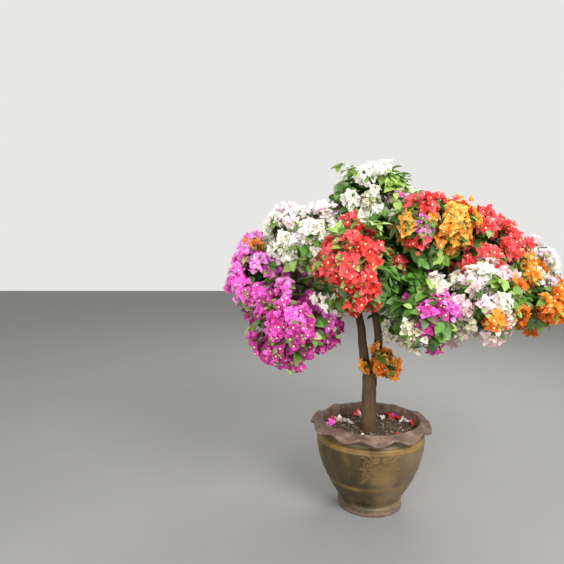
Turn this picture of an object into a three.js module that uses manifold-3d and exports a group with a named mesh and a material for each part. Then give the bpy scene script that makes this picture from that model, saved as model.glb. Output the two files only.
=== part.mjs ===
import * as THREE from 'three';
import { mergeVertices } from 'three/addons/utils/BufferGeometryUtils.js';
import Module from 'manifold-3d';

// A bougainvillea grown as a small tree in a glazed pot with a wavy clay flange.
// Millimetres, +Z up, the front of the plant towards -Y.
// The origin is the middle of the pot's flat underside.

// Pot
const POT_SIDES = 66;
const FOOT_RADIUS = 160;
const FOOT_EDGE = 6;
const FOOT_HEIGHT = 38;
const GROOVE_RADIUS = 154;
const GROOVE_HEIGHT = 46;
const BELLY_START = 156;
const BELLY_BOTTOM = 56;
const BELLY_TOP = 364;
const BELLY_MIDDLE = 170;
const BELLY_RADIUS = 266;
const BELLY_ROUNDNESS = 0.92;
const BELLY_STEPS = 5;
const LEDGE_HEIGHT = 373;
const LEDGE_INNER_RADIUS = 258;
const LEDGE_TOP = 381;
const NECK_RADIUS = 250;
const NECK_HEIGHT = 402;
const MOUTH_RADIUS = 240;
const RIM_HEIGHT = 447;
const RIM_ROUND = 6;
const FLANGE_RADIUS = 300;
const FLANGE_ROOT = 264;
const FLANGE_MIDDLE = 274;
const FLANGE_THICKNESS = 14;
const FLANGE_BEVEL = 3;
const FLANGE_EDGE_HEIGHT = 439;
const LOBES = 11;
const LOBE_DROP = 21;
const LOBE_BULGE = 6;
const FIRST_LOBE = THREE.MathUtils.degToRad(-0.5);
const POT_WALL = 18;
const POT_FLOOR = 22;
const CAVITY_UPRIGHT_FROM = 340;

// Soil
const SOIL_TOP = 385;
const SOIL_SIDES = POT_SIDES / 2;
const SOIL_EDGE = [5, 3];

// Space kept between two pieces that touch on the real plant. The flat faces of a
// grown tube lie a little closer than its corners, so it is grown by a little more.
const GAP = 0.3;
const FACET_ALLOWANCE = 1.2;

// Trunk, from its flat cut on the soil to the fork
const TRUNK_X = -9;
const TRUNK_TOP = 690;
const TRUNK_RADIUS = 35;
const FLARE = 7;
const FLARE_HEIGHT = 38;
const TRUNK_TAPER = 1.5;
const FORK_FROM = 0.7;
const FORK_SWELL = 2;
const TRUNK_SIDES = 12;
const TRUNK_STEPS = 8;

// The two boughs that the trunk forks into: the course and the radius at its ends
const BOUGH_SIDES = 8;
const BOUGH_STEPS = 11;
const BOUGHS = {
  bough_left: {
    course: [[-22, 0, 655], [-46, 0, 830], [-55, 0, 915], [-96, -20, 1040], [-190, -75, 1180]],
    radius: [25, 10],
    mass: 'left_shoulder',
  },
  bough_right: {
    course: [[0, 0, 655], [33, 0, 835], [24, 0, 915], [8, 0, 1020], [20, 0, 1120], [42, 0, 1210]],
    radius: [23, 10],
    mass: 'crown_top',
  },
};

// Side limbs: the radius where one leaves its bough and where it enters its mass
const LIMB_RADIUS = [12, 8];
const LIMB_SIDES = 5;
const LIMB_STEPS = 4;
const SHORTEST_LIMB = 45;
const SPHERE_SPACING = 8;
const STEM_SHARE = 0.85;

// Masses of foliage: middle, half sizes along X, Y and Z, the bough and the height
// that the limb leaves, how far the limb arches up, and the colour of the bracts
const MASSES = {
  crown_top: { at: [-15, -10, 1520], size: [215, 235, 178], bracts: 'white' },
  left_shoulder: { at: [-345, -170, 1355], size: [190, 195, 165], bracts: 'blush' },
  left_flank: {
    at: [-545, -70, 1150], size: [165, 200, 180],
    from: 'bough_left', height: 975, arch: 90, bracts: 'magenta',
  },
  left_skirt: {
    at: [-400, -265, 960], size: [235, 200, 176],
    from: 'bough_left', height: 1042, arch: 120, bracts: 'magenta',
  },
  front_fall: {
    at: [-150, -425, 1240], size: [170, 180, 220],
    from: 'bough_left', height: 1120, arch: 70, bracts: 'red',
  },
  right_crest: {
    at: [215, -245, 1400], size: [210, 195, 170],
    from: 'bough_right', height: 1190, arch: 60, bracts: 'orange',
  },
  right_shoulder: {
    at: [500, -100, 1300], size: [180, 200, 185],
    from: 'bough_right', height: 1125, arch: 60, bracts: 'red',
  },
  right_tip: {
    at: [795, 95, 1190], size: [138, 190, 150],
    from: 'bough_right', height: 1075, arch: 60, bracts: 'blush',
  },
  right_flank: {
    at: [722, -115, 1060], size: [165, 180, 155],
    from: 'bough_right', height: 1026, arch: 70, bracts: 'orange',
  },
  right_skirt: {
    at: [385, -330, 1075], size: [235, 200, 180],
    from: 'bough_right', height: 1054, arch: 70, bracts: 'blush',
  },
  front_skirt: {
    at: [150, -430, 1020], size: [150, 165, 140],
    from: 'bough_right', height: 1000, arch: 110, bracts: 'magenta',
  },
  heart: {
    at: [50, -130, 1190], size: [200, 190, 190],
    from: 'bough_right', height: 1095, arch: 20, bracts: 'leaves',
  },
  back_left_flank: {
    at: [-440, 220, 1200], size: [220, 230, 215],
    from: 'bough_left', height: 1082, arch: 60, bracts: 'white',
  },
  back_left_skirt: {
    at: [-320, 430, 985], size: [225, 210, 180],
    from: 'bough_left', height: 1010, arch: 110, bracts: 'orange',
  },
  back_crest: {
    at: [70, 280, 1430], size: [230, 220, 190],
    from: 'bough_right', height: 1205, arch: 60, bracts: 'magenta',
  },
  back_fall: {
    at: [-10, 520, 1200], size: [215, 190, 200],
    from: 'bough_right', height: 1100, arch: 60, bracts: 'red',
  },
  back_right_flank: {
    at: [450, 250, 1235], size: [220, 215, 205],
    from: 'bough_right', height: 1160, arch: 50, bracts: 'magenta',
  },
  back_right_skirt: {
    at: [350, 480, 1020], size: [225, 200, 180],
    from: 'bough_right', height: 996, arch: 110, bracts: 'white',
  },
  fork_sprig: {
    at: [48, -80, 738], size: [92, 75, 92],
    from: 'bough_right', height: 700, arch: 10, bracts: 'orange',
  },
  inner_sprig: {
    at: [98, -170, 925], size: [85, 80, 75],
    from: 'bough_right', height: 965, arch: 30, bracts: 'blush',
  },
};

// Foliage: a stem in each mass, twigs on the stem, a side twig on each twig,
// leaves along them and a cluster of three bracts at each tip
const STEM_SIDES = 4;
const STEM_STEPS = 4;
const STEM_THINNEST = 5;
const TWIG_SIDES = 3;
const TWIG_STEPS = 2;
const TWIG_RADIUS = [5, 3.6];
const SIDE_TWIG_RADIUS = [3.2, 2.6];
const ROOT_SHIFT = 2;
const TWIG_SPACING = 50;
const TWIG_SHORT_OF_SKIN = [22, 38];
const TWIGS_BACK = 0.7;
const TWIGS_START = 0.3;
const TWIGS_ALONG = 0.5;
const TWIG_LIFT = 0.1;
const SIDE_TWIG_START = 0.36;
const SIDE_TWIG_TURN = 0.95;
const LEAF_LENGTH = 170;
const LEAF_WIDTH = 116;
const LEAF_THICKNESS = 6;
const LEAF_SHOULDER = -0.05;
const LEAF_TURN = 1.25;
const LEAF_TRIES = 4;
const LEAF_SINK = 2.5;
const LEAF_PLACES = [0.82, 0.66, 0.5];
const LEAVES_WITH_BRACTS = 1;
const LEAVES_WITHOUT_BRACTS = 3;
const BRACT_REACH = 104;
const BRACT_NOTCH = 0.5;
const BRACT_SHRINK = [1, 0.85, 0.7];
const FULL_BLADES_FROM = 185;
const BRACT_HEIGHT = 11;
const SPACE_MARGIN = 1;
const LIMB_CLEARANCE = 3;
const FINEST_EDGE = 0.05;
const SEED = 9;
const SPIN = 6;
const GOLDEN_TURN = Math.PI * (3 - Math.sqrt(5));
const WELD = 1e-4;
const HALVINGS = 30;

const UP = new THREE.Vector3(0, 0, 1);

// Colours of the visible finish of each piece
const FINISH = {
  glaze: { color: 0x6e6239, roughness: 0.45 },
  soil: { color: 0x4c4131, roughness: 1 },
  bark: { color: 0x675a43, roughness: 0.9 },
  leaves: { color: 0x5b8443, roughness: 0.6 },
  white: { color: 0xe6e2d2, roughness: 0.75 },
  blush: { color: 0xe6c6cf, roughness: 0.75 },
  magenta: { color: 0xd648b4, roughness: 0.7 },
  red: { color: 0xe0484c, roughness: 0.7 },
  orange: { color: 0xe7852c, roughness: 0.7 },
};

const wasm = await Module();
wasm.setup();

function vector([x, y, z]) {
  return new THREE.Vector3(x, y, z);
}

// A number from 0 to 1 that depends only on the three whole numbers given
function chance(a, b, c) {
  const wave = Math.sin((a + SEED) * 12.9898 + b * 78.233 + c * 37.719) * 43758.5453;
  return wave - Math.floor(wave);
}

function solidFrom(geometry) {
  const bare = geometry.clone();
  bare.deleteAttribute('normal');
  bare.deleteAttribute('uv');
  const merged = mergeVertices(bare, WELD);
  const corners = merged.index.array;
  const triangles = [];
  for (let i = 0; i < corners.length; i += 3) {
    const [a, b, c] = corners.slice(i, i + 3);
    if (a !== b && b !== c && c !== a) triangles.push(a, b, c);
  }
  return new wasm.Manifold(new wasm.Mesh({
    numProp: 3,
    vertProperties: new Float32Array(merged.attributes.position.array),
    triVerts: new Uint32Array(triangles),
  }));
}

function geometryFrom(solid) {
  const mesh = solid.getMesh();
  const geometry = new THREE.BufferGeometry();
  geometry.setAttribute('position', new THREE.BufferAttribute(mesh.vertProperties, 3));
  geometry.setIndex(new THREE.BufferAttribute(mesh.triVerts, 1));
  return geometry;
}

// The largest of the bodies that a cut or a join leaves
function largestBody(solid) {
  const bodies = solid.decompose();
  return bodies.reduce((best, body) => (body.volume() > best.volume() ? body : best));
}

// A closed tube: a cylinder bent along a path, its radius running along it
function taperedTube(path, radiusAt, sides, steps) {
  const tip = radiusAt(1) > 0 ? 1 : 0;
  const tube = new THREE.CylinderGeometry(tip, 1, 1, sides, steps);
  const frames = path.computeFrenetFrames(steps);
  const place = tube.attributes.position;
  for (let i = 0; i < place.count; i++) {
    const ring = Math.round((place.getY(i) + 0.5) * steps);
    const along = ring / steps;
    const radius = radiusAt(along);
    const spread = Math.hypot(place.getX(i), place.getZ(i)) || 1;
    const point = path.getPointAt(along)
      .addScaledVector(frames.normals[ring], place.getX(i) / spread * radius)
      .addScaledVector(frames.binormals[ring], -place.getZ(i) / spread * radius);
    place.setXYZ(i, point.x, point.y, point.z);
  }
  return tube;
}

// The stretch of a path from one share of its length to another
class Stretch extends THREE.Curve {
  constructor(path, start, end) {
    super();
    this.path = path;
    this.start = start;
    this.end = end;
  }

  getPoint(t, target) {
    return this.path.getPointAt(THREE.MathUtils.lerp(this.start, this.end, t), target);
  }
}

function between(ends) {
  return (along) => THREE.MathUtils.lerp(ends[0], ends[1], along);
}

// Pot and soil
function bellyRadius(height) {
  const share = (height - BELLY_BOTTOM) / (BELLY_TOP - BELLY_BOTTOM);
  const swell = Math.sin(Math.PI / 2 * share ** BELLY_ROUNDNESS);
  return THREE.MathUtils.lerp(BELLY_START, BELLY_RADIUS, swell);
}

function bellyProfile() {
  const profile = [];
  for (let step = 0; step <= BELLY_STEPS; step++) {
    const height = THREE.MathUtils.lerp(BELLY_BOTTOM, BELLY_TOP, step / BELLY_STEPS);
    profile.push([bellyRadius(height), height]);
  }
  return profile;
}

function cavityProfile(inset) {
  const floorRadius = GROOVE_RADIUS - POT_WALL - inset;
  return [
    [0, POT_FLOOR + inset],
    [floorRadius, POT_FLOOR + inset],
    [bellyRadius(BELLY_MIDDLE) - POT_WALL - inset, BELLY_MIDDLE],
    [MOUTH_RADIUS - inset, CAVITY_UPRIGHT_FROM],
  ];
}

function lathe(profile, sides) {
  const points = profile.map(([radius, height]) => new THREE.Vector2(radius, height));
  return new THREE.LatheGeometry(points, sides).rotateX(Math.PI / 2);
}

// The flange droops into even lobes, pinched by hand: they lower and widen its edge
function waveFlange(geometry) {
  const place = geometry.attributes.position;
  for (let i = 0; i < place.count; i++) {
    const x = place.getX(i);
    const y = place.getY(i);
    const z = place.getZ(i);
    if (z < NECK_HEIGHT) continue;
    const radius = Math.hypot(x, y);
    const share = THREE.MathUtils.smoothstep(radius, NECK_RADIUS, FLANGE_RADIUS);
    const turn = Math.atan2(x, -y);
    const wave = Math.cos(LOBES * (turn - FIRST_LOBE));
    const grown = (radius + share * LOBE_BULGE * wave) / radius;
    place.setXYZ(i, x * grown, y * grown, z - share * LOBE_DROP * (1 + wave) / 2);
  }
  return geometry;
}

function potGeometry() {
  const under = FLANGE_EDGE_HEIGHT - FLANGE_THICKNESS;
  const outside = [
    [0, 0],
    [FOOT_RADIUS - FOOT_EDGE, 0],
    [FOOT_RADIUS, FOOT_EDGE],
    [FOOT_RADIUS, FOOT_HEIGHT],
    [GROOVE_RADIUS, GROOVE_HEIGHT],
    ...bellyProfile(),
    [BELLY_RADIUS, LEDGE_HEIGHT],
    [LEDGE_INNER_RADIUS, LEDGE_TOP],
    [NECK_RADIUS, NECK_HEIGHT],
  ];
  const flange = [
    [FLANGE_ROOT, under],
    [FLANGE_RADIUS, under + FLANGE_BEVEL],
    [FLANGE_RADIUS - FLANGE_BEVEL, FLANGE_EDGE_HEIGHT],
    [FLANGE_MIDDLE, FLANGE_EDGE_HEIGHT + FLANGE_BEVEL],
    [MOUTH_RADIUS + RIM_ROUND, RIM_HEIGHT],
    [MOUTH_RADIUS, RIM_HEIGHT - RIM_ROUND],
  ];
  const inside = cavityProfile(0).reverse();
  return waveFlange(lathe([...outside, ...flange, ...inside], POT_SIDES));
}

function soilGeometry() {
  const profile = [
    ...cavityProfile(GAP),
    [MOUTH_RADIUS - GAP, SOIL_TOP - SOIL_EDGE[1]],
    [MOUTH_RADIUS - GAP - SOIL_EDGE[0], SOIL_TOP],
    [0, SOIL_TOP],
  ];
  return lathe(profile, SOIL_SIDES);
}

// Trunk and boughs
const trunkPath = new THREE.LineCurve3(
  new THREE.Vector3(TRUNK_X, 0, SOIL_TOP + GAP),
  new THREE.Vector3(TRUNK_X, 0, TRUNK_TOP),
);

function trunkRadius(along) {
  const height = along * (TRUNK_TOP - SOIL_TOP);
  const fork = THREE.MathUtils.smoothstep(along, FORK_FROM, 1) * FORK_SWELL;
  const flare = FLARE * Math.exp(-height / FLARE_HEIGHT);
  return TRUNK_RADIUS - TRUNK_TAPER * along + fork + flare;
}

function trunkSolid(grown) {
  const lengthened = trunkPath.clone();
  lengthened.v2.z += grown;
  const radius = (along) => trunkRadius(along) + grown;
  return solidFrom(taperedTube(lengthened, radius, TRUNK_SIDES, TRUNK_STEPS));
}

// Spaces that the masses keep to: each is an ellipsoid, cut by a plane between it and
// each neighbour, so no two spaces meet
function meanRadius(mass) {
  return Math.cbrt(mass.size[0] * mass.size[1] * mass.size[2]);
}

function planeBetween(mass, other) {
  const normal = vector(other.at).sub(vector(mass.at));
  const distance = normal.length();
  const lead = meanRadius(mass) ** 2 - meanRadius(other) ** 2;
  return { normal: normal.divideScalar(distance), reach: distance / 2 + lead / (2 * distance) };
}

function spaceOf(name) {
  const mass = MASSES[name];
  const others = Object.keys(MASSES).filter((other) => other !== name);
  return {
    middle: vector(mass.at),
    half: vector(mass.size),
    planes: others.map((other) => planeBetween(mass, MASSES[other])),
  };
}

function isInside(space, point) {
  const offset = point.clone().sub(space.middle);
  const inner = space.half.clone().subScalar(SPACE_MARGIN);
  const clear = space.planes.every(
    (plane) => offset.dot(plane.normal) < plane.reach - SPACE_MARGIN,
  );
  return clear && offset.divide(inner).lengthSq() < 1;
}

// How far a ray runs from a point inside a space before it leaves it
function rayLength(space, start, direction) {
  const offset = start.clone().sub(space.middle);
  const a = direction.clone().divide(space.half);
  const b = offset.clone().divide(space.half);
  const dot = a.dot(b);
  const root = Math.sqrt(dot * dot - a.lengthSq() * (b.lengthSq() - 1));
  let length = (root - dot) / a.lengthSq();
  for (const plane of space.planes) {
    const speed = plane.normal.dot(direction);
    if (speed <= 0) continue;
    length = Math.min(length, (plane.reach - offset.dot(plane.normal)) / speed);
  }
  return length;
}

// Courses of the boughs and limbs, each running on to the middle of its mass
function boughCourse(name) {
  const bough = BOUGHS[name];
  const points = [...bough.course, MASSES[bough.mass].at].map(vector);
  return new THREE.CatmullRomCurve3(points);
}

const boughCourses = {};
for (const name of Object.keys(BOUGHS)) boughCourses[name] = boughCourse(name);

function pointAtHeight(path, height) {
  let low = 0;
  let high = 1;
  for (let step = 0; step < HALVINGS; step++) {
    const middle = (low + high) / 2;
    if (path.getPointAt(middle).z < height) low = middle;
    else high = middle;
  }
  return path.getPointAt(low);
}

function limbCourse(mass) {
  const start = pointAtHeight(boughCourses[mass.from], mass.height);
  const end = vector(mass.at);
  const control = start.clone().lerp(end, 0.5).addScaledVector(UP, mass.arch);
  return new THREE.QuadraticBezierCurve3(start, control, end);
}

// The share of a path's length at which it enters a space for good
function entryShare(path, space) {
  let low = 0;
  let high = 1;
  for (let step = 0; step < HALVINGS; step++) {
    const middle = (low + high) / 2;
    if (isInside(space, path.getPointAt(middle))) high = middle;
    else low = middle;
  }
  return high;
}

// Spheres that stand for a limb when foliage is kept clear of it
const limbSpheres = [];

function addLimbSpheres(path, radiusAt) {
  const count = Math.ceil(path.getLength() / SPHERE_SPACING);
  for (let i = 0; i <= count; i++) {
    limbSpheres.push({ middle: path.getPointAt(i / count), radius: radiusAt(i / count) });
  }
}

const woodSolids = {};
const stems = {};
const grownBoughs = {};

// A limb from its start to its share of a course, and the same limb grown by the gap
// all round and past its end, which cuts what meets it
function limbPair(whole, entry, radius, sides, steps) {
  const beyond = entry + GAP / whole.getLength();
  const grownRadius = (along) => radius(along) + GAP * FACET_ALLOWANCE;
  return {
    limb: solidFrom(taperedTube(new Stretch(whole, 0, entry), radius, sides, steps)),
    grown: solidFrom(taperedTube(new Stretch(whole, 0, beyond), grownRadius, sides, steps)),
  };
}

function buildTrunkAndBoughs() {
  woodSolids.trunk = trunkSolid(0);
  addLimbSpheres(trunkPath, trunkRadius);
  let cutter = trunkSolid(GAP * FACET_ALLOWANCE);
  for (const [name, bough] of Object.entries(BOUGHS)) {
    const whole = boughCourses[name];
    const entry = entryShare(whole, spaceOf(bough.mass));
    const radius = between(bough.radius);
    const pair = limbPair(whole, entry, radius, BOUGH_SIDES, BOUGH_STEPS);
    woodSolids[name] = largestBody(pair.limb.subtract(cutter));
    cutter = cutter.add(pair.grown);
    addLimbSpheres(new Stretch(whole, 0, entry), radius);
    stems[bough.mass] = { whole, entry, radius: bough.radius[1] * STEM_SHARE, cutter: pair.grown };
    grownBoughs[name] = pair.grown;
  }
}

function buildLimbs() {
  for (const [name, mass] of Object.entries(MASSES)) {
    if (!mass.from) continue;
    const whole = limbCourse(mass);
    const entry = entryShare(whole, spaceOf(name));
    const bough = grownBoughs[mass.from];
    const stemRadius = LIMB_RADIUS[1] * STEM_SHARE;
    if (entry * whole.getLength() < SHORTEST_LIMB) {
      stems[name] = { whole, entry: 0, radius: stemRadius, cutter: bough };
      continue;
    }
    const radius = between(LIMB_RADIUS);
    const pair = limbPair(whole, entry, radius, LIMB_SIDES, LIMB_STEPS);
    woodSolids[`limb_${name}`] = largestBody(pair.limb.subtract(bough));
    addLimbSpheres(new Stretch(whole, 0, entry), radius);
    stems[name] = { whole, entry, radius: stemRadius, cutter: pair.grown };
  }
}

// Foliage
function facesOf(geometry) {
  const flat = geometry.index ? geometry.toNonIndexed() : geometry;
  const place = flat.attributes.position;
  const faces = [];
  for (let i = 0; i < place.count; i += 3) {
    faces.push(new THREE.Triangle().setFromAttributeAndIndices(place, i, i + 1, i + 2));
  }
  return faces;
}

function fits(geometry, space) {
  geometry.computeBoundingSphere();
  const ball = geometry.boundingSphere;
  const faces = facesOf(geometry);
  const corners = faces.flatMap((face) => [face.a, face.b, face.c]);
  if (!corners.every((corner) => isInside(space, corner))) return false;
  const nearest = new THREE.Vector3();
  return limbSpheres.every((sphere) => {
    const room = sphere.radius + LIMB_CLEARANCE;
    if (sphere.middle.distanceTo(ball.center) > ball.radius + room) return true;
    return faces.every(
      (face) => face.closestPointToPoint(sphere.middle, nearest).distanceTo(sphere.middle) > room,
    );
  });
}

// Turns a shape so that its +X lies along a direction and its +Z near a facing
function lay(geometry, at, direction, facing) {
  const x = direction.clone().normalize();
  const y = facing.clone().cross(x).normalize();
  const z = x.clone().cross(y);
  return geometry.applyMatrix4(new THREE.Matrix4().makeBasis(x, y, z).setPosition(at));
}

// A leaf is an octahedron: four points of outline and a ridge point on each side
function leafGeometry(at, direction, facing, scale) {
  const leaf = new THREE.OctahedronGeometry(1, 0);
  const place = leaf.attributes.position;
  for (let i = 0; i < place.count; i++) {
    const isEnd = Math.abs(place.getX(i)) > 0.5;
    const x = isEnd ? place.getX(i) : LEAF_SHOULDER;
    const along = (x + 1) / 2 * LEAF_LENGTH * scale - LEAF_SINK;
    const aside = place.getY(i) * LEAF_WIDTH / 2 * scale;
    place.setXYZ(i, along, aside, place.getZ(i) * LEAF_THICKNESS / 2);
  }
  return lay(leaf, at, direction, facing);
}

// Three bracts round a tip: a low six-sided cone with every other corner drawn in,
// its flat base towards the twig
function bractGeometry(at, facing, across, reach) {
  const bracts = new THREE.ConeGeometry(1, 1, 6, 1).rotateX(Math.PI / 2);
  const place = bracts.attributes.position;
  for (let i = 0; i < place.count; i++) {
    const x = place.getX(i);
    const y = place.getY(i);
    const corner = Math.round(Math.atan2(y, x) / (Math.PI / 3) - 0.5);
    const wide = reach * (corner % 2 === 0 ? 1 : BRACT_NOTCH);
    place.setXYZ(i, x * wide, y * wide, place.getZ(i) * BRACT_HEIGHT);
  }
  return lay(bracts, at, across, facing);
}

// Directions spread evenly over a ball, from a pole round to near the opposite side
function spreadDirection(index, count, turn, pole) {
  const z = 1 - (1 + TWIGS_BACK) * index / (count - 1);
  const flat = Math.sqrt(1 - z * z);
  const angle = index * GOLDEN_TURN + turn;
  const direction = new THREE.Vector3(flat * Math.cos(angle), flat * Math.sin(angle), z);
  return direction.applyQuaternion(new THREE.Quaternion().setFromUnitVectors(UP, pole));
}

// A twig's arched path from a point to just short of the skin of its space
function twigPath(space, root, direction, short) {
  const start = root.addScaledVector(direction, ROOT_SHIFT);
  const length = rayLength(space, start, direction) - short;
  const end = start.clone().addScaledVector(direction, Math.max(length, short));
  const lift = length * TWIG_LIFT;
  const control = start.clone().lerp(end, 0.5).addScaledVector(UP, lift);
  return new THREE.QuadraticBezierCurve3(start, control, end);
}

function sideDirection(path, share, turn, spin) {
  const along = path.getTangentAt(share);
  const side = along.clone().cross(UP).normalize().applyAxisAngle(along, spin);
  return along.applyAxisAngle(side, turn);
}

// The stem runs on from the limb through the middle of the mass to near its far skin
function stemPath(source, space, short) {
  const inner = new Stretch(source.whole, source.entry, 1);
  const middle = source.whole.getPointAt(1);
  const onward = inner.getTangentAt(1);
  const past = rayLength(space, middle, onward) - short;
  const points = [0, 0.5, 1].map((share) => inner.getPointAt(share));
  points.push(middle.clone().addScaledVector(onward, past));
  return new THREE.CatmullRomCurve3(points);
}

// The shoots of one mass: its stem, the twigs on the stem and a side twig on each twig
function shootsOf(name, order, space) {
  const source = stems[name];
  const short = between(TWIG_SHORT_OF_SKIN);
  const stem = stemPath(source, space, short(chance(order, 0, 3)));
  const stemEnds = [source.radius, STEM_THINNEST];
  const shoots = [{ path: stem, ends: stemEnds, sides: STEM_SIDES, steps: STEM_STEPS }];
  const count = Math.round(meanRadius(MASSES[name]) / TWIG_SPACING);
  const pole = stem.getTangentAt(1);
  const spin = SPIN * chance(order, 0, 0);
  for (let k = 1; k <= count; k++) {
    const direction = spreadDirection(k, count + 1, spin, pole);
    const start = stem.getPointAt(TWIGS_START + TWIGS_ALONG * (1 - (k - 0.5) / count));
    const path = twigPath(space, start, direction, short(chance(order, k, 3)));
    shoots.push({ path, ends: TWIG_RADIUS, sides: TWIG_SIDES, steps: TWIG_STEPS });
  }
  for (const [k, twig] of shoots.slice(1).entries()) {
    const turn = SPIN * chance(order, k, 4);
    const aside = sideDirection(twig.path, SIDE_TWIG_START, SIDE_TWIG_TURN, turn);
    const fork = twig.path.getPointAt(SIDE_TWIG_START);
    const path = twigPath(space, fork, aside, short(chance(order, k, 5)));
    shoots.push({ path, ends: SIDE_TWIG_RADIUS, sides: TWIG_SIDES, steps: 1 });
  }
  return shoots;
}

// True where a shape keeps to its space and touches none of the shapes given
function isClear(geometry, space, others) {
  if (!fits(geometry, space)) return false;
  const solid = solidFrom(geometry);
  return others.every((other) => solid.intersect(other).isEmpty());
}

// A leaf on a twig at the outermost place where it is clear, if there is one
function outermostLeaf(path, spin, outward, scale, space, others) {
  for (const share of LEAF_PLACES) {
    for (let tried = 0; tried < LEAF_TRIES; tried++) {
      const direction = sideDirection(path, share, LEAF_TURN, spin + tried * GOLDEN_TURN);
      const leaf = leafGeometry(path.getPointAt(share), direction, outward, scale);
      if (isClear(leaf, space, others)) return [solidFrom(leaf)];
    }
  }
  return [];
}

// The widest cluster of bracts that is clear at a tip, if there is one
function widestBracts(tip, outward, across, scale, space, others) {
  for (const share of BRACT_SHRINK) {
    const bracts = bractGeometry(tip, outward, across, BRACT_REACH * scale * share);
    if (isClear(bracts, space, others)) return [solidFrom(bracts)];
  }
  return [];
}

function massSolid(name, order) {
  const space = spaceOf(name);
  const leafy = MASSES[name].bracts === 'leaves';
  const leaves = leafy ? LEAVES_WITHOUT_BRACTS : LEAVES_WITH_BRACTS;
  const shoots = shootsOf(name, order, space);
  for (const shoot of shoots) {
    shoot.tube = taperedTube(shoot.path, between(shoot.ends), shoot.sides, shoot.steps);
  }
  const grown = shoots.filter((shoot, k) => k === 0 || fits(shoot.tube, space));
  const wood = grown.map((shoot) => solidFrom(shoot.tube));
  const scale = Math.min(1, meanRadius(MASSES[name]) / FULL_BLADES_FROM);
  const blades = [];
  grown.forEach(({ path }, k) => {
    const tip = path.getPointAt(1);
    const outward = tip.clone().sub(space.middle).normalize();
    const turn = SPIN * chance(order, k, 6);
    const across = outward.clone().cross(UP).applyAxisAngle(outward, turn);
    const otherWood = wood.filter((part, i) => i !== k);
    if (!leafy) blades.push(...widestBracts(tip, outward, across, scale, space, blades));
    for (let leaf = 0; leaf < leaves; leaf++) {
      const spin = SPIN * chance(order, k, 7 + leaf);
      const others = [...otherWood, ...blades];
      blades.push(...outermostLeaf(path, spin, outward, scale, space, others));
    }
  });
  const solid = wasm.Manifold.union([...wood, ...blades]).subtract(stems[name].cutter);
  return largestBody(solid).simplify(FINEST_EDGE);
}

// The plant in its pot
const plant = new THREE.Group();

function addPiece(name, geometry, finish) {
  const material = new THREE.MeshStandardMaterial({ ...FINISH[finish], metalness: 0 });
  const piece = new THREE.Mesh(geometry, material);
  piece.name = name;
  plant.add(piece);
}

addPiece('pot', potGeometry(), 'glaze');
addPiece('soil', soilGeometry(), 'soil');

buildTrunkAndBoughs();
buildLimbs();
for (const [name, solid] of Object.entries(woodSolids)) {
  addPiece(name, geometryFrom(solid), 'bark');
}

Object.keys(MASSES).forEach((name, order) => {
  addPiece(`mass_${name}`, geometryFrom(massSolid(name, order)), MASSES[name].bracts);
});

export default plant;
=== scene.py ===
import functools
import math

import bpy
import numpy as np
from bpy.props import FloatProperty, FloatVectorProperty, IntProperty, PointerProperty
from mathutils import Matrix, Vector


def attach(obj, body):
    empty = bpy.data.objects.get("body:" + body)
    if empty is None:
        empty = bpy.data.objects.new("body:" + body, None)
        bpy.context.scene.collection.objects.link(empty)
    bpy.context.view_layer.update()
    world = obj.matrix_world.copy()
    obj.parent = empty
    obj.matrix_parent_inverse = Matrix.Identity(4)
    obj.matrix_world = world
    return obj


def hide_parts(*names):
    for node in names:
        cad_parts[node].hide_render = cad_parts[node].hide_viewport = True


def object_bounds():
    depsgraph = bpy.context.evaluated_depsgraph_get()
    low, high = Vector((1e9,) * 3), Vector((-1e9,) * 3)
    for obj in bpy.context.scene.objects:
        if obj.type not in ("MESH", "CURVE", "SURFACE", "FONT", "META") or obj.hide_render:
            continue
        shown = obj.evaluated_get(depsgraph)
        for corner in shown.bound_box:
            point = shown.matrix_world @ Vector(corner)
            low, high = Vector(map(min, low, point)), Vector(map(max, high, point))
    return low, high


# A bougainvillea grown as a small tree in a glazed pot with a wavy clay flange.
# Shapes are worked out in millimetres and go into the meshes in metres, +Z up.

bl_info = {
    "name": "Potted Bougainvillea",
    "version": (1, 0, 0),
    "blender": (4, 5, 0),
    "location": "View3D > Sidebar > Bougainvillea",
    "description": "Grows a bougainvillea bush with bracts in several colours in a glazed pot",
    "category": "Add Mesh",
}

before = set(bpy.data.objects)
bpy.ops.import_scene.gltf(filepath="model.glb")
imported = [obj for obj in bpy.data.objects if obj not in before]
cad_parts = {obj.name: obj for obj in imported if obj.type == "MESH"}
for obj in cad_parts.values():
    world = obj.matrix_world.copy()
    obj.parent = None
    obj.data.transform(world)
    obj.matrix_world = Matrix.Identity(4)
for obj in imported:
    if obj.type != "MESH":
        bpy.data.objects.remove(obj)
CAD_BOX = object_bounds()

MM = 0.001
LOWEST, HIGHEST = (np.array(corner) / MM for corner in CAD_BOX)
UP = np.array([0.0, 0.0, 1.0])
BACKWARDS = np.array([0.0, 1.0, 0.0])
FULL_TURN = 2 * math.pi
GOLDEN_TURN = math.pi * (3 - math.sqrt(5))

# The seed of all chance, the height of the waves that it is read from, and the turn in
# radians that it gives to spirals, at most
SEED = 9
WAVE_HEIGHT = 43758.5453
SPIN = 6
# How far on along a path its direction is read, as a share of its length
COURSE_STEP = 0.004
SHOOT_STEP = 0.02

# Trunk: its middle in X, its top, its radius and taper, the size and height of its root
# flare, the swelling below the fork, the share of its length that this starts from, how
# flat the fork is, and the height of the soil that it stands on
TRUNK_X = -9
TRUNK_TOP = 690
TRUNK_RADIUS = 35
TRUNK_TAPER = 1.5
FLARE = 7
FLARE_HEIGHT = 38
FORK_SWELL = 2.5
FORK_FROM = 0.7
FORK_FLATNESS = 0.3
SOIL_TOP = 385

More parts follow.
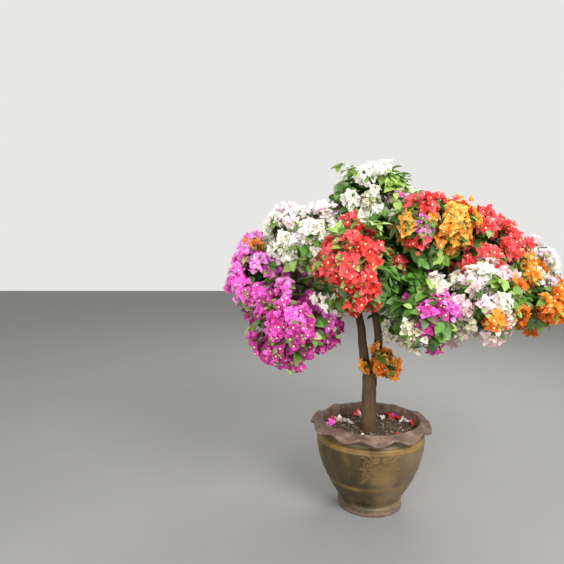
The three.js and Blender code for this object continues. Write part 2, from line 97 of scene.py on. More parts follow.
# The two boughs: course, radius at its ends and the mass that each runs into
BOUGHS = {
    "bough_left": (
        [(-22, 0, 655), (-46, 0, 830), (-55, 0, 915), (-96, -20, 1040), (-190, -75, 1180)],
        (25, 10), "left_shoulder",
    ),
    "bough_right": (
        [(0, 0, 655), (33, 0, 835), (24, 0, 915), (8, 0, 1020), (20, 0, 1120), (42, 0, 1210)],
        (23, 10), "crown_top",
    ),
}
# Limbs: the radius at their ends, and the length below which none is drawn
LIMB_RADIUS = (12, 8)
SHORTEST_LIMB = 45
# Leaves on the bare limbs: their distance, the share that they start from, and the share that
# takes the darker deep greens, as painted shade inside the crown
LIMB_LEAF_GAP = 15
LIMB_LEAVES_FROM = 0.2
DARK_LIMB_LEAVES = 0.55
# The extra radius at the foot of a bough or limb and how soon this falls away, and the
# share of its radius that a bough starts with and the length over which it grows to all
BOUGH_COLLAR = (4, 9)
LIMB_COLLAR = (3, 14)
BOUGH_FOOT = (0.55, 1)
BOUGH_FOOT_LENGTH = 60
# Bark: how long and how wide its furrows are, and the height, by the radius, and the width
# of its low swellings
FURROW_STRETCH = 5
FURROW_WIDTH = 7
KNOB = 0.05
KNOB_WIDTH = 60

# Stem and twigs of a mass, as in the plant's source: radii, distance between twigs, how far
# they end from the skin, how far round they reach, where they leave the stem, their arch,
# and where and at what angle the side twigs leave them
STEM_SHARE = 0.85
STEM_TIP_RADIUS = 4
TWIG_RADIUS = (5, 3)
SIDE_TWIG_RADIUS = (3.4, 2)
ROOT_SHIFT = 2
TWIG_SPACING = 50
TWIG_SHORT_OF_SKIN = (22, 38)
TWIGS_BACK = 0.7
TWIGS_START = 0.3
TWIGS_ALONG = 0.5
TWIG_LIFT = 0.1
SIDE_TWIG_START = 0.36
SIDE_TWIG_TURN = 0.95

# Shoots of a mass: the radius of mass that their number is given for, the fewest, the inner
# ones to each outer one, how far round the outer and the inner ones reach, how far out the
# inner ones end, and the least distance of any end from the middle
COMMON_RADIUS = 190
FEWEST_SHOOTS = 6
INNER_SHOOTS = 0.45
SHOOTS_BACK = (0.88, 0.97)
INNER_REACH = (0.4, 0.8)
LEAST_REACH = 20
# The shares of its twigs that shoots may start from, the shortest way back to one by the
# radius of the mass, a distance further than any, and how far a shoot arches upwards and
# along its twig by its length
SHOOT_STARTS = (0.2, 0.95)
SHOOT_NEAREST = 0.42
FAR_AWAY = 900
SHOOT_LIFT = 0.13
SHOOT_LEAN = 0.12
# The skin: its swellings' height, the most that they stand out and their width, how far in
# it lies, and how much short shoots fall back from it and a few long ones pass it
SWELL = 34
SWELL_LIMIT = 12
SWELL_WIDTH = 110
SKIN_INSET = 4
SHORT_SHOOTS = 70
LONG_SHOOTS = 34
LONG_SHOOTS_CHANCE = 0.1
# Grooves between masses, filled from the middle backwards: how near the neighbour they
# start and end, where in Y the filling starts and is full, and how far it stands out
GROOVE_NEARNESS = (0.7, 0.95)
GROOVE_Y = (-60, 100)
GROOVE_FILL = 45
# Bracts: the length of shoot that carries them, the most of a shoot, the stalk's length at
# the back and tip of this, and how far out of the mass and of the whole they may stand
PLUME = (105, 190)
PLUME_SHARE = 0.75
STALK = (36, 8)
BRACT_LIMIT = 1.12
BRACT_MARGIN = 4
# Leaves: how far out of the mass and of the whole their tips may stand, and how much
# further out of the mass leaves and bracts may stand in a groove
LEAF_LIMIT = 1.1
LEAF_MARGIN = 12
GROOVE_LIMIT = 0.13
# Radii of shoots, and of a flower stalk as a share of its length
SHOOT_RADIUS = (2.4, 0.9)
STALK_RADIUS = 1.1 / 30
# Where things point, as the shares of directions that are added up. Outwards: away from the
# middle of the mass and of the crown. A stalk's lean outwards. A cluster: across its shoot,
# along it, outwards and by chance. A leaf: across, along, upwards and by chance. A leaf's
# upper side: upwards, outwards and by chance, and on bare limbs upwards, by chance, backwards
OUTWARD_WAY = (0.7, 0.3)
STALK_LEAN = 0.45
CLUSTER_WAY = (0.8, 0.35, 0.7, 0.4)
LEAF_WAY = (1, 0.5, -0.25, 0.25)
LEAF_FACE = (0.75, 0.75, 0.5)
LIMB_LEAF_WAY = (1, 0.4, -0.2, 0.4)
LIMB_LEAF_FACE = (1, 0.6, -0.6)
# Sizes that chance draws between, as shares of the full one, and the share that leaves keep
# at the tip of a shoot, among bracts, and on dark shoots
STALK_SIZE = (0.35, 1.25)
CLUSTER_SIZE = (0.86, 1.16)
LEAF_SIZE = (0.78, 1.12)
LIMB_LEAF_SIZE = (0.75, 1.1)
TIP_LEAVES_FROM = 0.88
TIP_LEAF_SIZE = 0.72
COVERED_LEAF_SIZE = 0.85
DEEP_LEAF_SIZE = 1.25
# Ages and painted shade, from which the shades follow: what chance adds at most, the depth in
# the mass below which growth is in shade and the painted shade that this adds, and the shades that each unit
# of the sum makes
LEAF_CHANCE_AGE = 1.15
LEAF_SHADE_BELOW = 0.62
LEAF_PAINTED_SHADE = 0.75
LEAF_SHADES = 1.75
BRACT_CHANCE_AGE = (0.55, 0.75)
BRACT_SHADE_BELOW = 0.72
BRACT_PAINTED_SHADE = 0.4
BRACT_SHADES = 2.1
# The share of a shoot from which leaves are young and what this takes off their ageing, and the
# painted light that gives the sprig low on the trunk lighter shades, though it grows in the crown's shadow
YOUNG_FROM = 0.86
YOUNG_AGE = -0.75
LOW_SPRIG_PAINTED_LIGHT = -0.4
# Forms of leaf: the angles that it bends between, how far it folds and its widest share
LEAF_FORMS = [((74, 104), 0.16, 0.36), ((66, 118), 0.26, 0.4), ((80, 128), 0.1, 0.38), ((60, 96), 0.34, 0.42)]
# How far open clusters stand, in degrees, and the share of them whose true flower is open
CLUSTER_OPENINGS = (0, 12, 24, 34)
OPEN_FLOWERS = 0.42
# Painted shade and light by height: bracts take darker shades below a height and lighter ones
# above it: the fall that adds one to their ageing, and the least and most that height changes
PAINTED_SHADE_BELOW = 1120
PAINTED_SHADE_FALL = 400
PAINTED_SHADE_LIMITS = (-0.35, 0.5)
# Masses with a smaller radius than this have smaller leaves and plumes
FULL_SIZE_RADIUS = 140
# The middle of the crown, which leaves and bracts face away from
CROWN_MIDDLE = (0, 0, 1100)

# Masses of foliage: middle, half sizes, the bough and height that the limb leaves, its
# arch, and how the shoots share out among the colours
MASSES = {
    "crown_top": ((-15, -10, 1520), (215, 235, 178), None, {"leafy": 3, "white": 2}),
    "left_shoulder": ((-345, -170, 1355), (190, 195, 165), None, {"blush": 6, "white": 4, "leafy": 1}),
    "left_flank": ((-545, -70, 1150), (165, 200, 180), ("bough_left", 975, 90),
                   {"magenta": 14, "leafy": 1}),
    "left_skirt": ((-400, -265, 960), (235, 200, 176), ("bough_left", 1042, 120),
                   {"magenta": 12, "leafy": 1}),
    "front_fall": ((-150, -425, 1240), (170, 180, 220), ("bough_left", 1120, 70), {"red": 14, "leafy": 1}),
    "right_crest": ((215, -245, 1400), (210, 195, 170), ("bough_right", 1190, 60),
                    {"orange": 7, "red": 1, "leafy": 2}),
    "right_shoulder": ((500, -100, 1300), (180, 200, 185), ("bough_right", 1125, 60),
                       {"red": 7, "magenta": 1, "leafy": 2}),
    "right_tip": ((795, 95, 1190), (138, 190, 150), ("bough_right", 1075, 60),
                  {"blush": 6, "white": 3, "leafy": 1}),
    "right_flank": ((722, -115, 1060), (165, 180, 155), ("bough_right", 1026, 70),
                    {"orange": 9, "leafy": 1}),
    "right_skirt": ((385, -330, 1075), (235, 200, 180), ("bough_right", 1054, 70),
                    {"blush": 10, "white": 6, "leafy": 1}),
    "front_skirt": ((150, -430, 1020), (150, 165, 140), ("bough_right", 1000, 110),
                    {"magenta": 9, "leafy": 1}),
    "heart": ((50, -130, 1190), (200, 190, 190), ("bough_right", 1095, 20), {"deep": 1}),
    "back_left_flank": ((-440, 220, 1200), (220, 230, 215), ("bough_left", 1082, 60),
                        {"white": 4, "magenta": 3, "leafy": 3}),
    "back_left_skirt": ((-320, 430, 985), (225, 210, 180), ("bough_left", 1010, 110),
                        {"orange": 6, "leafy": 3}),
    "back_crest": ((70, 280, 1430), (230, 220, 190), ("bough_right", 1205, 60),
                   {"magenta": 5, "white": 2, "leafy": 3}),
    "back_fall": ((-10, 520, 1200), (215, 190, 200), ("bough_right", 1100, 60),
                  {"red": 7, "orange": 1, "leafy": 3}),
    "back_right_flank": ((450, 250, 1235), (220, 215, 205), ("bough_right", 1160, 50),
                         {"magenta": 6, "red": 1, "leafy": 3}),
    "back_right_skirt": ((350, 480, 1020), (225, 200, 180), ("bough_right", 996, 110),
                         {"white": 4, "blush": 3, "leafy": 3}),
    "fork_sprig": ((48, -80, 738), (92, 75, 92), ("bough_right", 700, 10), {"orange": 1}),
    "inner_sprig": ((98, -170, 925), (85, 80, 75), ("bough_right", 965, 30),
                    {"white": 3, "blush": 1, "leafy": 1}),
}

# Sprays of another colour that grow through a mass: middle, radius, colour and the share
# of their reach that the shoots keep
SPRAYS = [
    ((-215, -60, 1560), 85, "leafy", 0.82), ((110, -220, 1530), 75, "leafy", 0.82),
    ((-144, -450, 1414), 55, "leafy", 0.9), ((-18, -110, 1630), 105, "white", 0.92),
    ((-12, -60, 1695), 55, "white", 1.02), ((-70, -215, 1545), 95, "white", 1),
    ((-10, -270, 1490), 85, "white", 1), ((-437, -300, 1327), 65, "white", 1),
    ((-473, -210, 1251), 60, "blush", 1), ((-268, -470, 1398), 50, "leafy", 0.95),
    ((-297, -430, 1299), 60, "leafy", 0.9), ((-365, -260, 1205), 85, "leafy", 0.95),
    ((-255, -420, 1105), 65, "white", 1), ((56, -320, 1456), 80, "leafy", 0.9),
    ((8, -540, 1266), 85, "deep", 0.9), ((91, -310, 1149), 80, "deep", 0.9),
    ((188, -320, 1516), 80, "red", 1), ((218, -390, 1422), 70, "orange", 1),
    ((75, -350, 1290), 65, "red", 1), ((140, -400, 1300), 62, "red", 1),
    ((120, -382, 1394), 52, "magenta", 0.9), ((481, -260, 1361), 80, "red", 1),
    ((559, -250, 1272), 70, "red", 1), ((585, 10, 1227), 40, "magenta", 1),
    ((635, -220, 1248), 45, "orange", 1), ((643, -400, 1087), 110, "orange", 1),
    ((739, -200, 1242), 70, "white", 1), ((807, -180, 1157), 50, "blush", 1),
    ((340, -470, 1105), 80, "blush", 1), ((450, -460, 1103), 80, "white", 1),
    ((533, -430, 1007), 65, "blush", 1), ((31, -440, 1109), 60, "deep", 0.85),
    ((3, -420, 1240), 40, "deep", 0.88), ((84, 50, 1134), 45, "deep", 0.88),
    ((32, -380, 1015), 40, "deep", 0.9), ((30, -490, 1010), 72, "white", 0.9),
    ((52, -470, 950), 72, "white", 0.9), ((425, -480, 975), 65, "orange", 0.95),
    ((407, -424, 917), 30, "blush", 0.9), ((-60, -555, 1262), 60, "red", 0.9),
    ((590, -310, 1110), 45, "blush", 1), ((214, -353, 1030), 20, "magenta", 1),
    ((300, -240, 1500), 75, "red", 1), ((339, -100, 1451), 30, "red", 1),
    ((103, -298, 1516), 30, "red", 1), ((-190, -250, 900), 150, "magenta", 0.8),
    ((-400, -330, 790), 125, "magenta", 0.88), ((-650, -40, 1290), 120, "magenta", 0.85),
    ((-622, 136, 1356), 60, "magenta", 0.82), ((-545, -40, 1310), 66, "orange", 0.95),
    ((440, -180, 1390), 60, "leafy", 0.92), ((7, -466, 1174), 45, "deep", 0.85),
    ((-120, -440, 1040), 75, "red", 0.86), ((-75, -346, 1068), 30, "red", 0.85),
    ((161, -315, 1247), 35, "deep", 0.85),
]

# Shades of each colour: fresh, full and old, which growth takes by its ageing and also as painted
# shade and light. The deep greens are darker, painted shade for the inner shoots, the heart, the deep
# sprays and some leaves on the bare limbs
SHADES = {
    "white": ("#f4f2ea", "#ebe7d9", "#d6d1b5"),
    "blush": ("#f7eaed", "#f1dbe1", "#e0c5c0"),
    "magenta": ("#fba6ec", "#f46cd4", "#c83e98"),
    "red": ("#f26064", "#ea433b", "#c43228"),
    "orange": ("#fdb44c", "#f8962a", "#e6741c"),
    "leafy": ("#98b45c", "#6c8e3c", "#4c6a2a"),
    "deep": ("#5c8a38", "#4a7230", "#3a5824"),
}
FLOWERING = [name for name in SHADES if name not in ("leafy", "deep")]
TRUNK_NODES = ["trunk", *BOUGHS]
LIMB_NODES = [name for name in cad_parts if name.startswith("limb_")]


# Numbers and noise
def unit(vectors):
    """Vectors divided by their own length."""
    return vectors / np.maximum(np.linalg.norm(vectors, axis=-1, keepdims=True), 1e-9)


def smooth_step(share):
    """A share from 0 to 1 eased at both ends: 3 share^2 - 2 share^3."""
    return share * share * (3 - 2 * share)


def between(ends, share):
    """The value at a share of the way from one end to the other."""
    return ends[0] + (ends[1] - ends[0]) * share


def ramp(values, low, high):
    """How far values lie on the way from low to high, from 0 to 1."""
    return np.clip((values - low) / (high - low), 0, 1)


def added(shares, *directions):
    """Directions times their shares, added up."""
    return sum(share * direction for share, direction in zip(shares, directions))


def chance(a, b, c):
    """The fraction of a large sine of whole numbers: the same rule as in the plant's source."""
    wave = np.sin((a + SEED) * 12.9898 + b * 78.233 + c * 37.719) * WAVE_HEIGHT
    return wave - np.floor(wave)


def jitter(count, key):
    """Vectors from -1 to 1 along each axis, one for each whole number below the count."""
    index = np.arange(count)
    return np.stack([2 * chance(index, key, axis) - 1 for axis in range(3)], -1)


def noise(points, size, octaves=1):
    """Random numbers at the corners of cubes of a size, blended smoothly in between, then
    the same again at half the size and half the height for each further octave."""
    total = np.zeros(points.shape[:-1])
    for octave in range(octaves):
        place = points / size * 2**octave + 17.3 * octave
        cell = np.floor(place)
        blend = smooth_step(place - cell)
        for corner in np.ndindex(2, 2, 2):
            weight = np.prod(np.where(corner, blend, 1 - blend), axis=-1)
            wave = np.sin((cell + corner) @ (127.1, 311.7, 74.7)) * WAVE_HEIGHT
            total += weight * (2 * (wave - np.floor(wave)) - 1) / 2**octave
    return total


# Courses and spaces
class Course:
    """A path as a row of points, read by the share of its length."""

    def __init__(self, points):
        self.points = np.asarray(points, float)
        steps = np.linalg.norm(np.diff(self.points, axis=0), axis=1)
        self.length = steps.sum()
        self.share = np.concatenate([[0], np.cumsum(steps)]) / self.length

    def at(self, share):
        """The point at a share of the length, in a straight line between two points."""
        return np.stack([np.interp(share, self.share, axis) for axis in self.points.T], -1)

    def tangent(self, share):
        """The unit vector from just before a share to just after it."""
        after, before = np.minimum(share + COURSE_STEP, 1), np.maximum(share - COURSE_STEP, 0)
        return unit(self.at(after) - self.at(before))


def smooth_course(points):
    """A centripetal Catmull-Rom curve: cubic spans through the points, with slopes from
    neighbours weighted by the square root of their distance."""
    corners = np.array(points, float)
    corners = np.vstack([2 * corners[0] - corners[1], corners, 2 * corners[-1] - corners[-2]])
    place = np.linspace(0, len(corners) - 3, 400)
    span = np.minimum(place.astype(int), len(corners) - 4)
    t = (place - span)[:, None]
    a, b, c, d = (corners[span + shift] for shift in range(4))
    gap_a, gap_b, gap_c = (
        np.sqrt(np.linalg.norm(end - start, axis=1, keepdims=True))
        for start, end in ((a, b), (b, c), (c, d))
    )
    leave = ((b - a) / gap_a - (c - a) / (gap_a + gap_b) + (c - b) / gap_b) * gap_b
    arrive = ((c - b) / gap_b - (d - b) / (gap_b + gap_c) + (d - c) / gap_c) * gap_b
    square = -3 * b + 3 * c - 2 * leave - arrive
    cube = 2 * b - 2 * c + leave + arrive
    return Course(b + leave * t + square * t**2 + cube * t**3)


def arch(start, control, end, share):
    """Points on quadratic arches: (1-t)^2 start + 2t(1-t) control + t^2 end."""
    t = np.asarray(share)[..., None]
    return (1 - t) ** 2 * start + 2 * t * (1 - t) * control + t**2 * end


def arched_course(start, control, end):
    """One arch as a course of 60 points."""
    return Course(arch(start, control, end, np.linspace(0, 1, 60)))


def mean_radius(name):
    """The radius of a ball with the volume of a mass's ellipsoid."""
    return np.cbrt(np.prod(MASSES[name][1]))


def tone_of_age_and_painted_shade(age_and_painted_shade):
    """The whole number below a sum of ageing and painted shade, from 0 for the lightest shade to 2 for the
    darkest.
    """
    return np.clip(np.floor(age_and_painted_shade), 0, 2)


def size_of_growth(name):
    """The size of a mass's leaves and plumes, below 1 only in the small sprigs."""
    return min(1, mean_radius(name) / FULL_SIZE_RADIUS)


def merged(parts):
    """Dictionaries of arrays as one, each array the like arrays of all in a row."""
    return {key: np.concatenate([part[key] for part in parts]) for key in parts[0]}


class Space:
    """The space of one mass: an ellipsoid cut by a plane between it and each neighbour."""

    def __init__(self, name):
        self.middle = np.array(MASSES[name][0], float)
        self.half = np.array(MASSES[name][1], float)
        others = [other for other in MASSES if other != name]
        away = np.array([MASSES[other][0] for other in others]) - self.middle
        distance = np.linalg.norm(away, axis=1)
        radii = np.array([mean_radius(other) for other in others])
        self.normals = away / distance[:, None]
        self.reach = distance / 2 + (mean_radius(name) ** 2 - radii**2) / (2 * distance)

    def nearness(self, points):
        """How near points lie to a neighbour: 0 in the middle and 1 on the plane between."""
        return np.max((points - self.middle) @ self.normals.T / self.reach, axis=-1)

    def depth(self, points):
        """How far out points lie: 0 in the middle and 1 on the skin."""
        round_depth = np.linalg.norm((points - self.middle) / self.half, axis=-1)
        return np.maximum(round_depth, self.nearness(points))

    def ray(self, start, direction):
        """How far rays run before they leave the space."""
        offset = start - self.middle
        a, b = direction / self.half, offset / self.half
        dot, square = (a * b).sum(-1), (a * a).sum(-1)
        length = (np.sqrt(dot**2 - square * ((b * b).sum(-1) - 1)) - dot) / square
        speed = direction @ self.normals.T
        room = self.reach - offset @ self.normals.T
        flat = np.where(speed > 0, room / np.where(speed > 0, speed, 1), np.inf)
        return np.minimum(length, flat.min(-1))

    def pull_in(self, points, limit):
        """Points drawn straight towards the middle until none lies further out than a limit."""
        share = np.minimum(1, limit / self.depth(points))[..., None]
        return self.middle + (points - self.middle) * share


# Meshes
def joined(parts):
    """Several (points, faces, shades) as one, the faces of each counted on from the last."""
    starts = np.cumsum([0] + [len(points) for points, _, _ in parts[:-1]])
    return (
        np.concatenate([points for points, _, _ in parts]),
        np.concatenate([faces + start for (_, faces, _), start in zip(parts, starts)]),
        np.concatenate([shades for _, _, shades in parts]),
    )


def one_shade(shape, shade=0):
    """Points and faces, with one material number for all faces."""
    points, faces = shape
    return points, faces, np.full(len(faces), shade)


def make_piece(name, part, materials, replaced=(), attributes=()):
    """Puts points, faces and a material number for each face into one mesh object. A face
    whose last two corners are the same is a triangle."""
    points, faces, shades = part
    mesh = bpy.data.meshes.new(name)
    if faces.shape[1] == 4:
        keep = np.ones(faces.shape, bool)
        keep[:, 3] = faces[:, 2] != faces[:, 3]
        corners, sizes = faces[keep], keep.sum(1)
    else:
        corners, sizes = faces.ravel(), np.full(len(faces), 3)
    mesh.vertices.add(len(points))
    mesh.vertices.foreach_set("co", (points * MM).astype(np.float32).ravel())
    mesh.loops.add(len(corners))
    mesh.loops.foreach_set("vertex_index", corners.astype(np.int32))
    mesh.polygons.add(len(sizes))
    mesh.polygons.foreach_set("loop_start", (np.cumsum(sizes) - sizes).astype(np.int32))
    mesh.polygons.foreach_set("material_index", shades.astype(np.int32))
    mesh.update(calc_edges=True)
    mesh.shade_smooth()
    for label, values in dict(attributes).items():
        mesh.attributes.new(label, "FLOAT", "POINT").data.foreach_set("value", values.ravel())
    if mesh.validate():
        raise RuntimeError(f"{name} has faulty faces")
    for material in materials:
        mesh.materials.append(material)
    piece = bpy.data.objects.new(name, mesh)
    bpy.context.scene.collection.objects.link(piece)
    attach(piece, "root")
    if replaced:
        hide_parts(*replaced)
    return piece


def capped_faces(rows, sides):
    """Faces between neighbouring points of a tube's rings, then a fan at its foot and one at
    its top, round two middles that are numbered after the points of the rings."""
    row, side = np.meshgrid(np.arange(rows - 1), np.arange(sides), indexing="ij")
    beside = (side + 1) % sides
    wall = (row * sides + side, row * sides + beside, (row + 1) * sides + beside, (row + 1) * sides + side)
    side, beside, last = side[0], beside[0], (rows - 1) * sides
    low = (np.full(sides, rows * sides), beside, side, side)
    high = (np.full(sides, rows * sides + 1), last + side, last + beside, last + beside)
    return np.concatenate([np.stack([corner.ravel() for corner in corners], -1)
                           for corners in (wall, low, high)])


def capped_tubes(rings):
    """Tubes from rings of points of shape (tubes, rings, sides, 3), each end closed round
    the middle of its ring. The rings run anticlockwise seen from the end."""
    count, rows, sides, _ = rings.shape
    middles = rings[:, [0, -1]].mean(axis=2)
    points = np.concatenate([rings.reshape(count, -1, 3), middles], axis=1)
    faces = capped_faces(rows, sides) + (np.arange(count) * (rows * sides + 2))[:, None, None]
    return points.reshape(-1, 3), faces.reshape(-1, 4)


def tubes(paths, radii, sides):
    """Tubes along paths of shape (tubes, rings, 3): rings across the path's direction, with
    radii of shape (tubes, rings)."""
    ahead = unit(np.gradient(paths, axis=1))
    overall = np.abs(paths[:, -1] - paths[:, 0])
    across = np.eye(3)[np.argmin(overall, axis=1)][:, None]
    normal = unit(np.cross(ahead, across))
    binormal = np.cross(ahead, normal)
    turn = (np.arange(sides) * FULL_TURN / sides)[:, None]
    ring = normal[..., None, :] * np.cos(turn) + binormal[..., None, :] * np.sin(turn)
    return capped_tubes(paths[..., None, :] + ring * radii[..., None, None])


def circle(sides, radius=1, height=0):
    """Points at even angles round the Z axis, anticlockwise from the X axis."""
    turn = np.arange(sides) * FULL_TURN / sides
    return np.stack([radius * np.cos(turn), radius * np.sin(turn), np.full(sides, float(height))], -1)


def blade(length, width, angles, cup, widest):
    """A pointed blade of four rows. Its midline bends evenly from one angle off the Z axis
    to another, its half width is a sine that peaks at the widest share, and its edges rise
    off the midline by the cup times the half width."""
    rows = 4
    share = np.linspace(0, 1, rows + 1)
    fine = np.linspace(0, 1, 200)
    angle = np.radians(between(angles, fine))
    course = np.stack([np.sin(angle), 0 * angle, np.cos(angle)], -1)
    course = np.cumsum(course, axis=0) * length / len(fine)
    middle = np.stack([np.interp(share, fine, axis) for axis in course.T], -1)
    bend = np.radians(between(angles, share))
    normal = np.stack([-np.cos(bend), 0 * bend, np.sin(bend)], -1)
    power = math.log(0.5) / math.log(widest)
    half = width / 2 * np.sin(math.pi * share**power) ** 0.8
    points = [middle[:1]]
    for row in range(1, rows):
        for side in (-1, 0, 1):
            edge = abs(side) * half[row]
            points.append(middle[row:row + 1] + normal[row] * cup * edge + (0, side * half[row], 0))
    points.append(middle[-1:])
    faces = [(0, 2, 1), (0, 3, 2)]
    for row in range(rows - 2):
        first = 1 + 3 * row
        for corner in (first, first + 1):
            faces += [(corner, corner + 1, corner + 4), (corner, corner + 4, corner + 3)]
    last = 1 + 3 * (rows - 2)
    faces += [(last, last + 1, last + 3), (last + 1, last + 2, last + 3)]
    return np.concatenate(points), np.array(faces)


def turned(points, angle):
    """Points turned about the Z axis."""
    c, s = math.cos(angle), math.sin(angle)
    return points @ np.array([[c, s, 0], [-s, c, 0], [0, 0, 1]])


def repeat(shape, origins, x_axes, z_axes, scales, shades):
    """Copies of a small shape, the X and Z of each turned along the axes given."""
    points, faces = shape
    z = unit(z_axes)
    y = unit(np.cross(z, x_axes))
    frames = np.stack([np.cross(y, z), y, z], axis=1)
    placed = origins[:, None] + scales[:, None, None] * (points[None] @ frames)
    copies = faces[None] + (np.arange(len(origins)) * len(points))[:, None, None]
    return placed.reshape(-1, 3), copies.reshape(-1, 3), np.repeat(shades, len(faces))


# Growth
def boughs_and_limbs():
    """Courses of the boughs and limbs up to where each enters its mass, with the radius at
    the ends, and for each mass the whole course with the share at which it enters."""
    wood, wholes, stems = {}, {}, {}

    def entry(course, name):
        """The last share of a course that lies outside a mass, or 0."""
        shares = np.linspace(0, 1, 1000)
        outside = np.flatnonzero(Space(name).depth(course.at(shares)) >= 1)
        return shares[outside[-1]] if len(outside) else 0

    for name, (points, radius, mass) in BOUGHS.items():
        wholes[name] = smooth_course([*points, MASSES[mass][0]])
        share = entry(wholes[name], mass)
        wood[name] = (Course(wholes[name].at(np.linspace(0, share, 90))), radius)
        stems[mass] = (wholes[name], share, radius[1])
    for name, (middle, _, limb, _) in MASSES.items():
        if not limb:
            continue
        bough, height, rise = limb
        course = wholes[bough]
        start = course.at(np.interp(height, course.points[:, 2], course.share))
        end = np.array(middle, float)
        whole = arched_course(start, (start + end) / 2 + UP * rise, end)
        share = entry(whole, name)
        if share * whole.length < SHORTEST_LIMB:
            share = 0
        else:
            wood[f"limb_{name}"] = (Course(whole.at(np.linspace(0, share, 50))), LIMB_RADIUS)
        stems[name] = (whole, share, LIMB_RADIUS[1])
    return wood, stems


def spread(count, spin, pole, back):
    """Directions spread evenly over a ball by the golden turn, from near the pole round to
    a share of the way back on the other side, the ball then turned from the Z axis to the pole."""
    index = np.arange(1, count + 1)
    z = 1 - (1 + back) * index / count
    flat = np.sqrt(1 - z * z)
    angle = index * GOLDEN_TURN + spin
    ball = np.stack([flat * np.cos(angle), flat * np.sin(angle), z], -1)
    axis = np.cross(UP, pole)
    skew = np.array([[0, -axis[2], axis[1]], [axis[2], 0, -axis[0]], [-axis[1], axis[0], 0]])
    turn = np.eye(3) + skew + skew @ skew / (1 + pole[2])
    return ball @ turn.T


def round_course(ahead, angle, up=UP):
    """Directions across a course: level to its side, then turned round it by an angle."""
    side = unit(np.cross(ahead, up))
    angle = np.asarray(angle)[..., None]
    return side * np.cos(angle) + np.cross(ahead, side) * np.sin(angle)


def framework(order, name, stem):
    """The stem, twigs and side twigs of a mass: the rule of the plant's source."""
    whole, share, radius = stem
    space = Space(name)
    middle, onward = whole.at(1.0), whole.tangent(1.0)
    inner = whole.at(np.linspace(share, 1, 3))
    short = between(TWIG_SHORT_OF_SKIN, chance(order, 0, 3))
    course = smooth_course([*inner, middle + onward * (space.ray(middle, onward) - short)])
    found = [(course, (radius * STEM_SHARE, STEM_TIP_RADIUS))]
    count = round(mean_radius(name) / TWIG_SPACING)
    directions = spread(count, SPIN * chance(order, 0, 0), course.tangent(1.0), TWIGS_BACK)

    def twig(root, direction, short_by):
        """A twig's arch from just off its root, its end short of the skin by chance."""
        start = root + direction * ROOT_SHIFT
        gap = between(TWIG_SHORT_OF_SKIN, short_by)
        length = space.ray(start, direction) - gap
        end = start + direction * max(length, gap)
        return arched_course(start, (start + end) / 2 + UP * length * TWIG_LIFT, end)

    for k, direction in enumerate(directions, 1):
        root = course.at(TWIGS_START + TWIGS_ALONG * (1 - (k - 0.5) / count))
        found.append((twig(root, direction, chance(order, k, 3)), TWIG_RADIUS))
    for k, (path, _) in enumerate(found[1:]):
        along = path.tangent(SIDE_TWIG_START)
        side = round_course(along, SPIN * chance(order, k, 4))
        aside = along * math.cos(SIDE_TWIG_TURN) + np.cross(side, along) * math.sin(SIDE_TWIG_TURN)
        found.append((twig(path.at(SIDE_TWIG_START), aside, chance(order, k, 5)), SIDE_TWIG_RADIUS))
    return found


def colour_of_shoots(order, name, tips):
    """The colour of each shoot and how much of its reach it keeps: the mass's own colours
    by their shares, or those of the spray its tip is in."""
    shares = MASSES[name][3]
    bounds = np.cumsum(list(shares.values())) / sum(shares.values())
    drawn = np.searchsorted(bounds, chance(order, np.arange(len(tips)), 21))
    colours = np.array([*shares, *SHADES])[np.minimum(drawn, len(bounds) - 1)]
    kept = np.ones(len(tips))
    for middle, radius, colour, share in SPRAYS:
        inside = np.linalg.norm(tips - middle, axis=1) < radius
        colours[inside], kept[inside] = colour, share
    return colours, kept


def grow_shoots(order, name, wood, crown):
    """The finer shoots of a mass: tips spread evenly over its skin and over a shell inside
    it, each on an arch from the nearest twig that is far enough back."""
    space, radius = Space(name), mean_radius(name)
    pole = wood[0][0].tangent(1.0)
    spin = SPIN * chance(order, 0, 9)
    outer = max(FEWEST_SHOOTS, round(crown.shoots * (radius / COMMON_RADIUS) ** 2))
    inner = round(outer * INNER_SHOOTS)
    directions = np.concatenate([spread(outer, spin, pole, SHOOTS_BACK[0]),
                                 spread(inner, spin + 2, pole, SHOOTS_BACK[1])])
    index = np.arange(outer + inner)
    is_outer = index < outer
    reach = space.ray(space.middle, directions)
    short = chance(order, index, 11)
    tips = space.middle + directions * reach[:, None]
    colours, kept = colour_of_shoots(order, name, tips)
    # Painted shade: inner shoots take the darker deep greens
    colours[~is_outer] = "deep"
    swell = SWELL * noise(tips, SWELL_WIDTH)
    groove = ramp(space.nearness(tips), *GROOVE_NEARNESS) * ramp(tips[:, 1], *GROOVE_Y)
    fall_back = SHORT_SHOOTS * short**1.6 * (1 - 0.7 * groove)
    outmost = reach * kept + np.minimum(swell, SWELL_LIMIT) - SKIN_INSET - fall_back
    outmost = outmost + LONG_SHOOTS * (short < LONG_SHOOTS_CHANCE) + GROOVE_FILL * groove
    reach = np.where(is_outer, outmost, reach * between(INNER_REACH, short))
    ends = space.middle + directions * np.maximum(reach, LEAST_REACH)[:, None]
    samples = np.linspace(*SHOOT_STARTS, 12)
    roots = np.concatenate([course.at(samples) for course, _ in wood])
    slopes = np.concatenate([course.tangent(samples) for course, _ in wood])
    distance = np.linalg.norm(ends[:, None] - roots[None], axis=-1)
    too_near = distance < radius * SHOOT_NEAREST
    nearest = np.argmin(distance + np.where(too_near, FAR_AWAY, 0), axis=1)
    starts = roots[nearest]
    length = np.linalg.norm(ends - starts, axis=1, keepdims=True)
    controls = (starts + ends) / 2 + UP * length * SHOOT_LIFT + slopes[nearest] * length * SHOOT_LEAN
    outward = unit(added(OUTWARD_WAY, unit(ends - space.middle), unit(ends - CROWN_MIDDLE)))
    return dict(start=starts, control=controls, end=ends, outward=outward, colour=colours,
                length=length[:, 0], groove=groove, outer=is_outer)


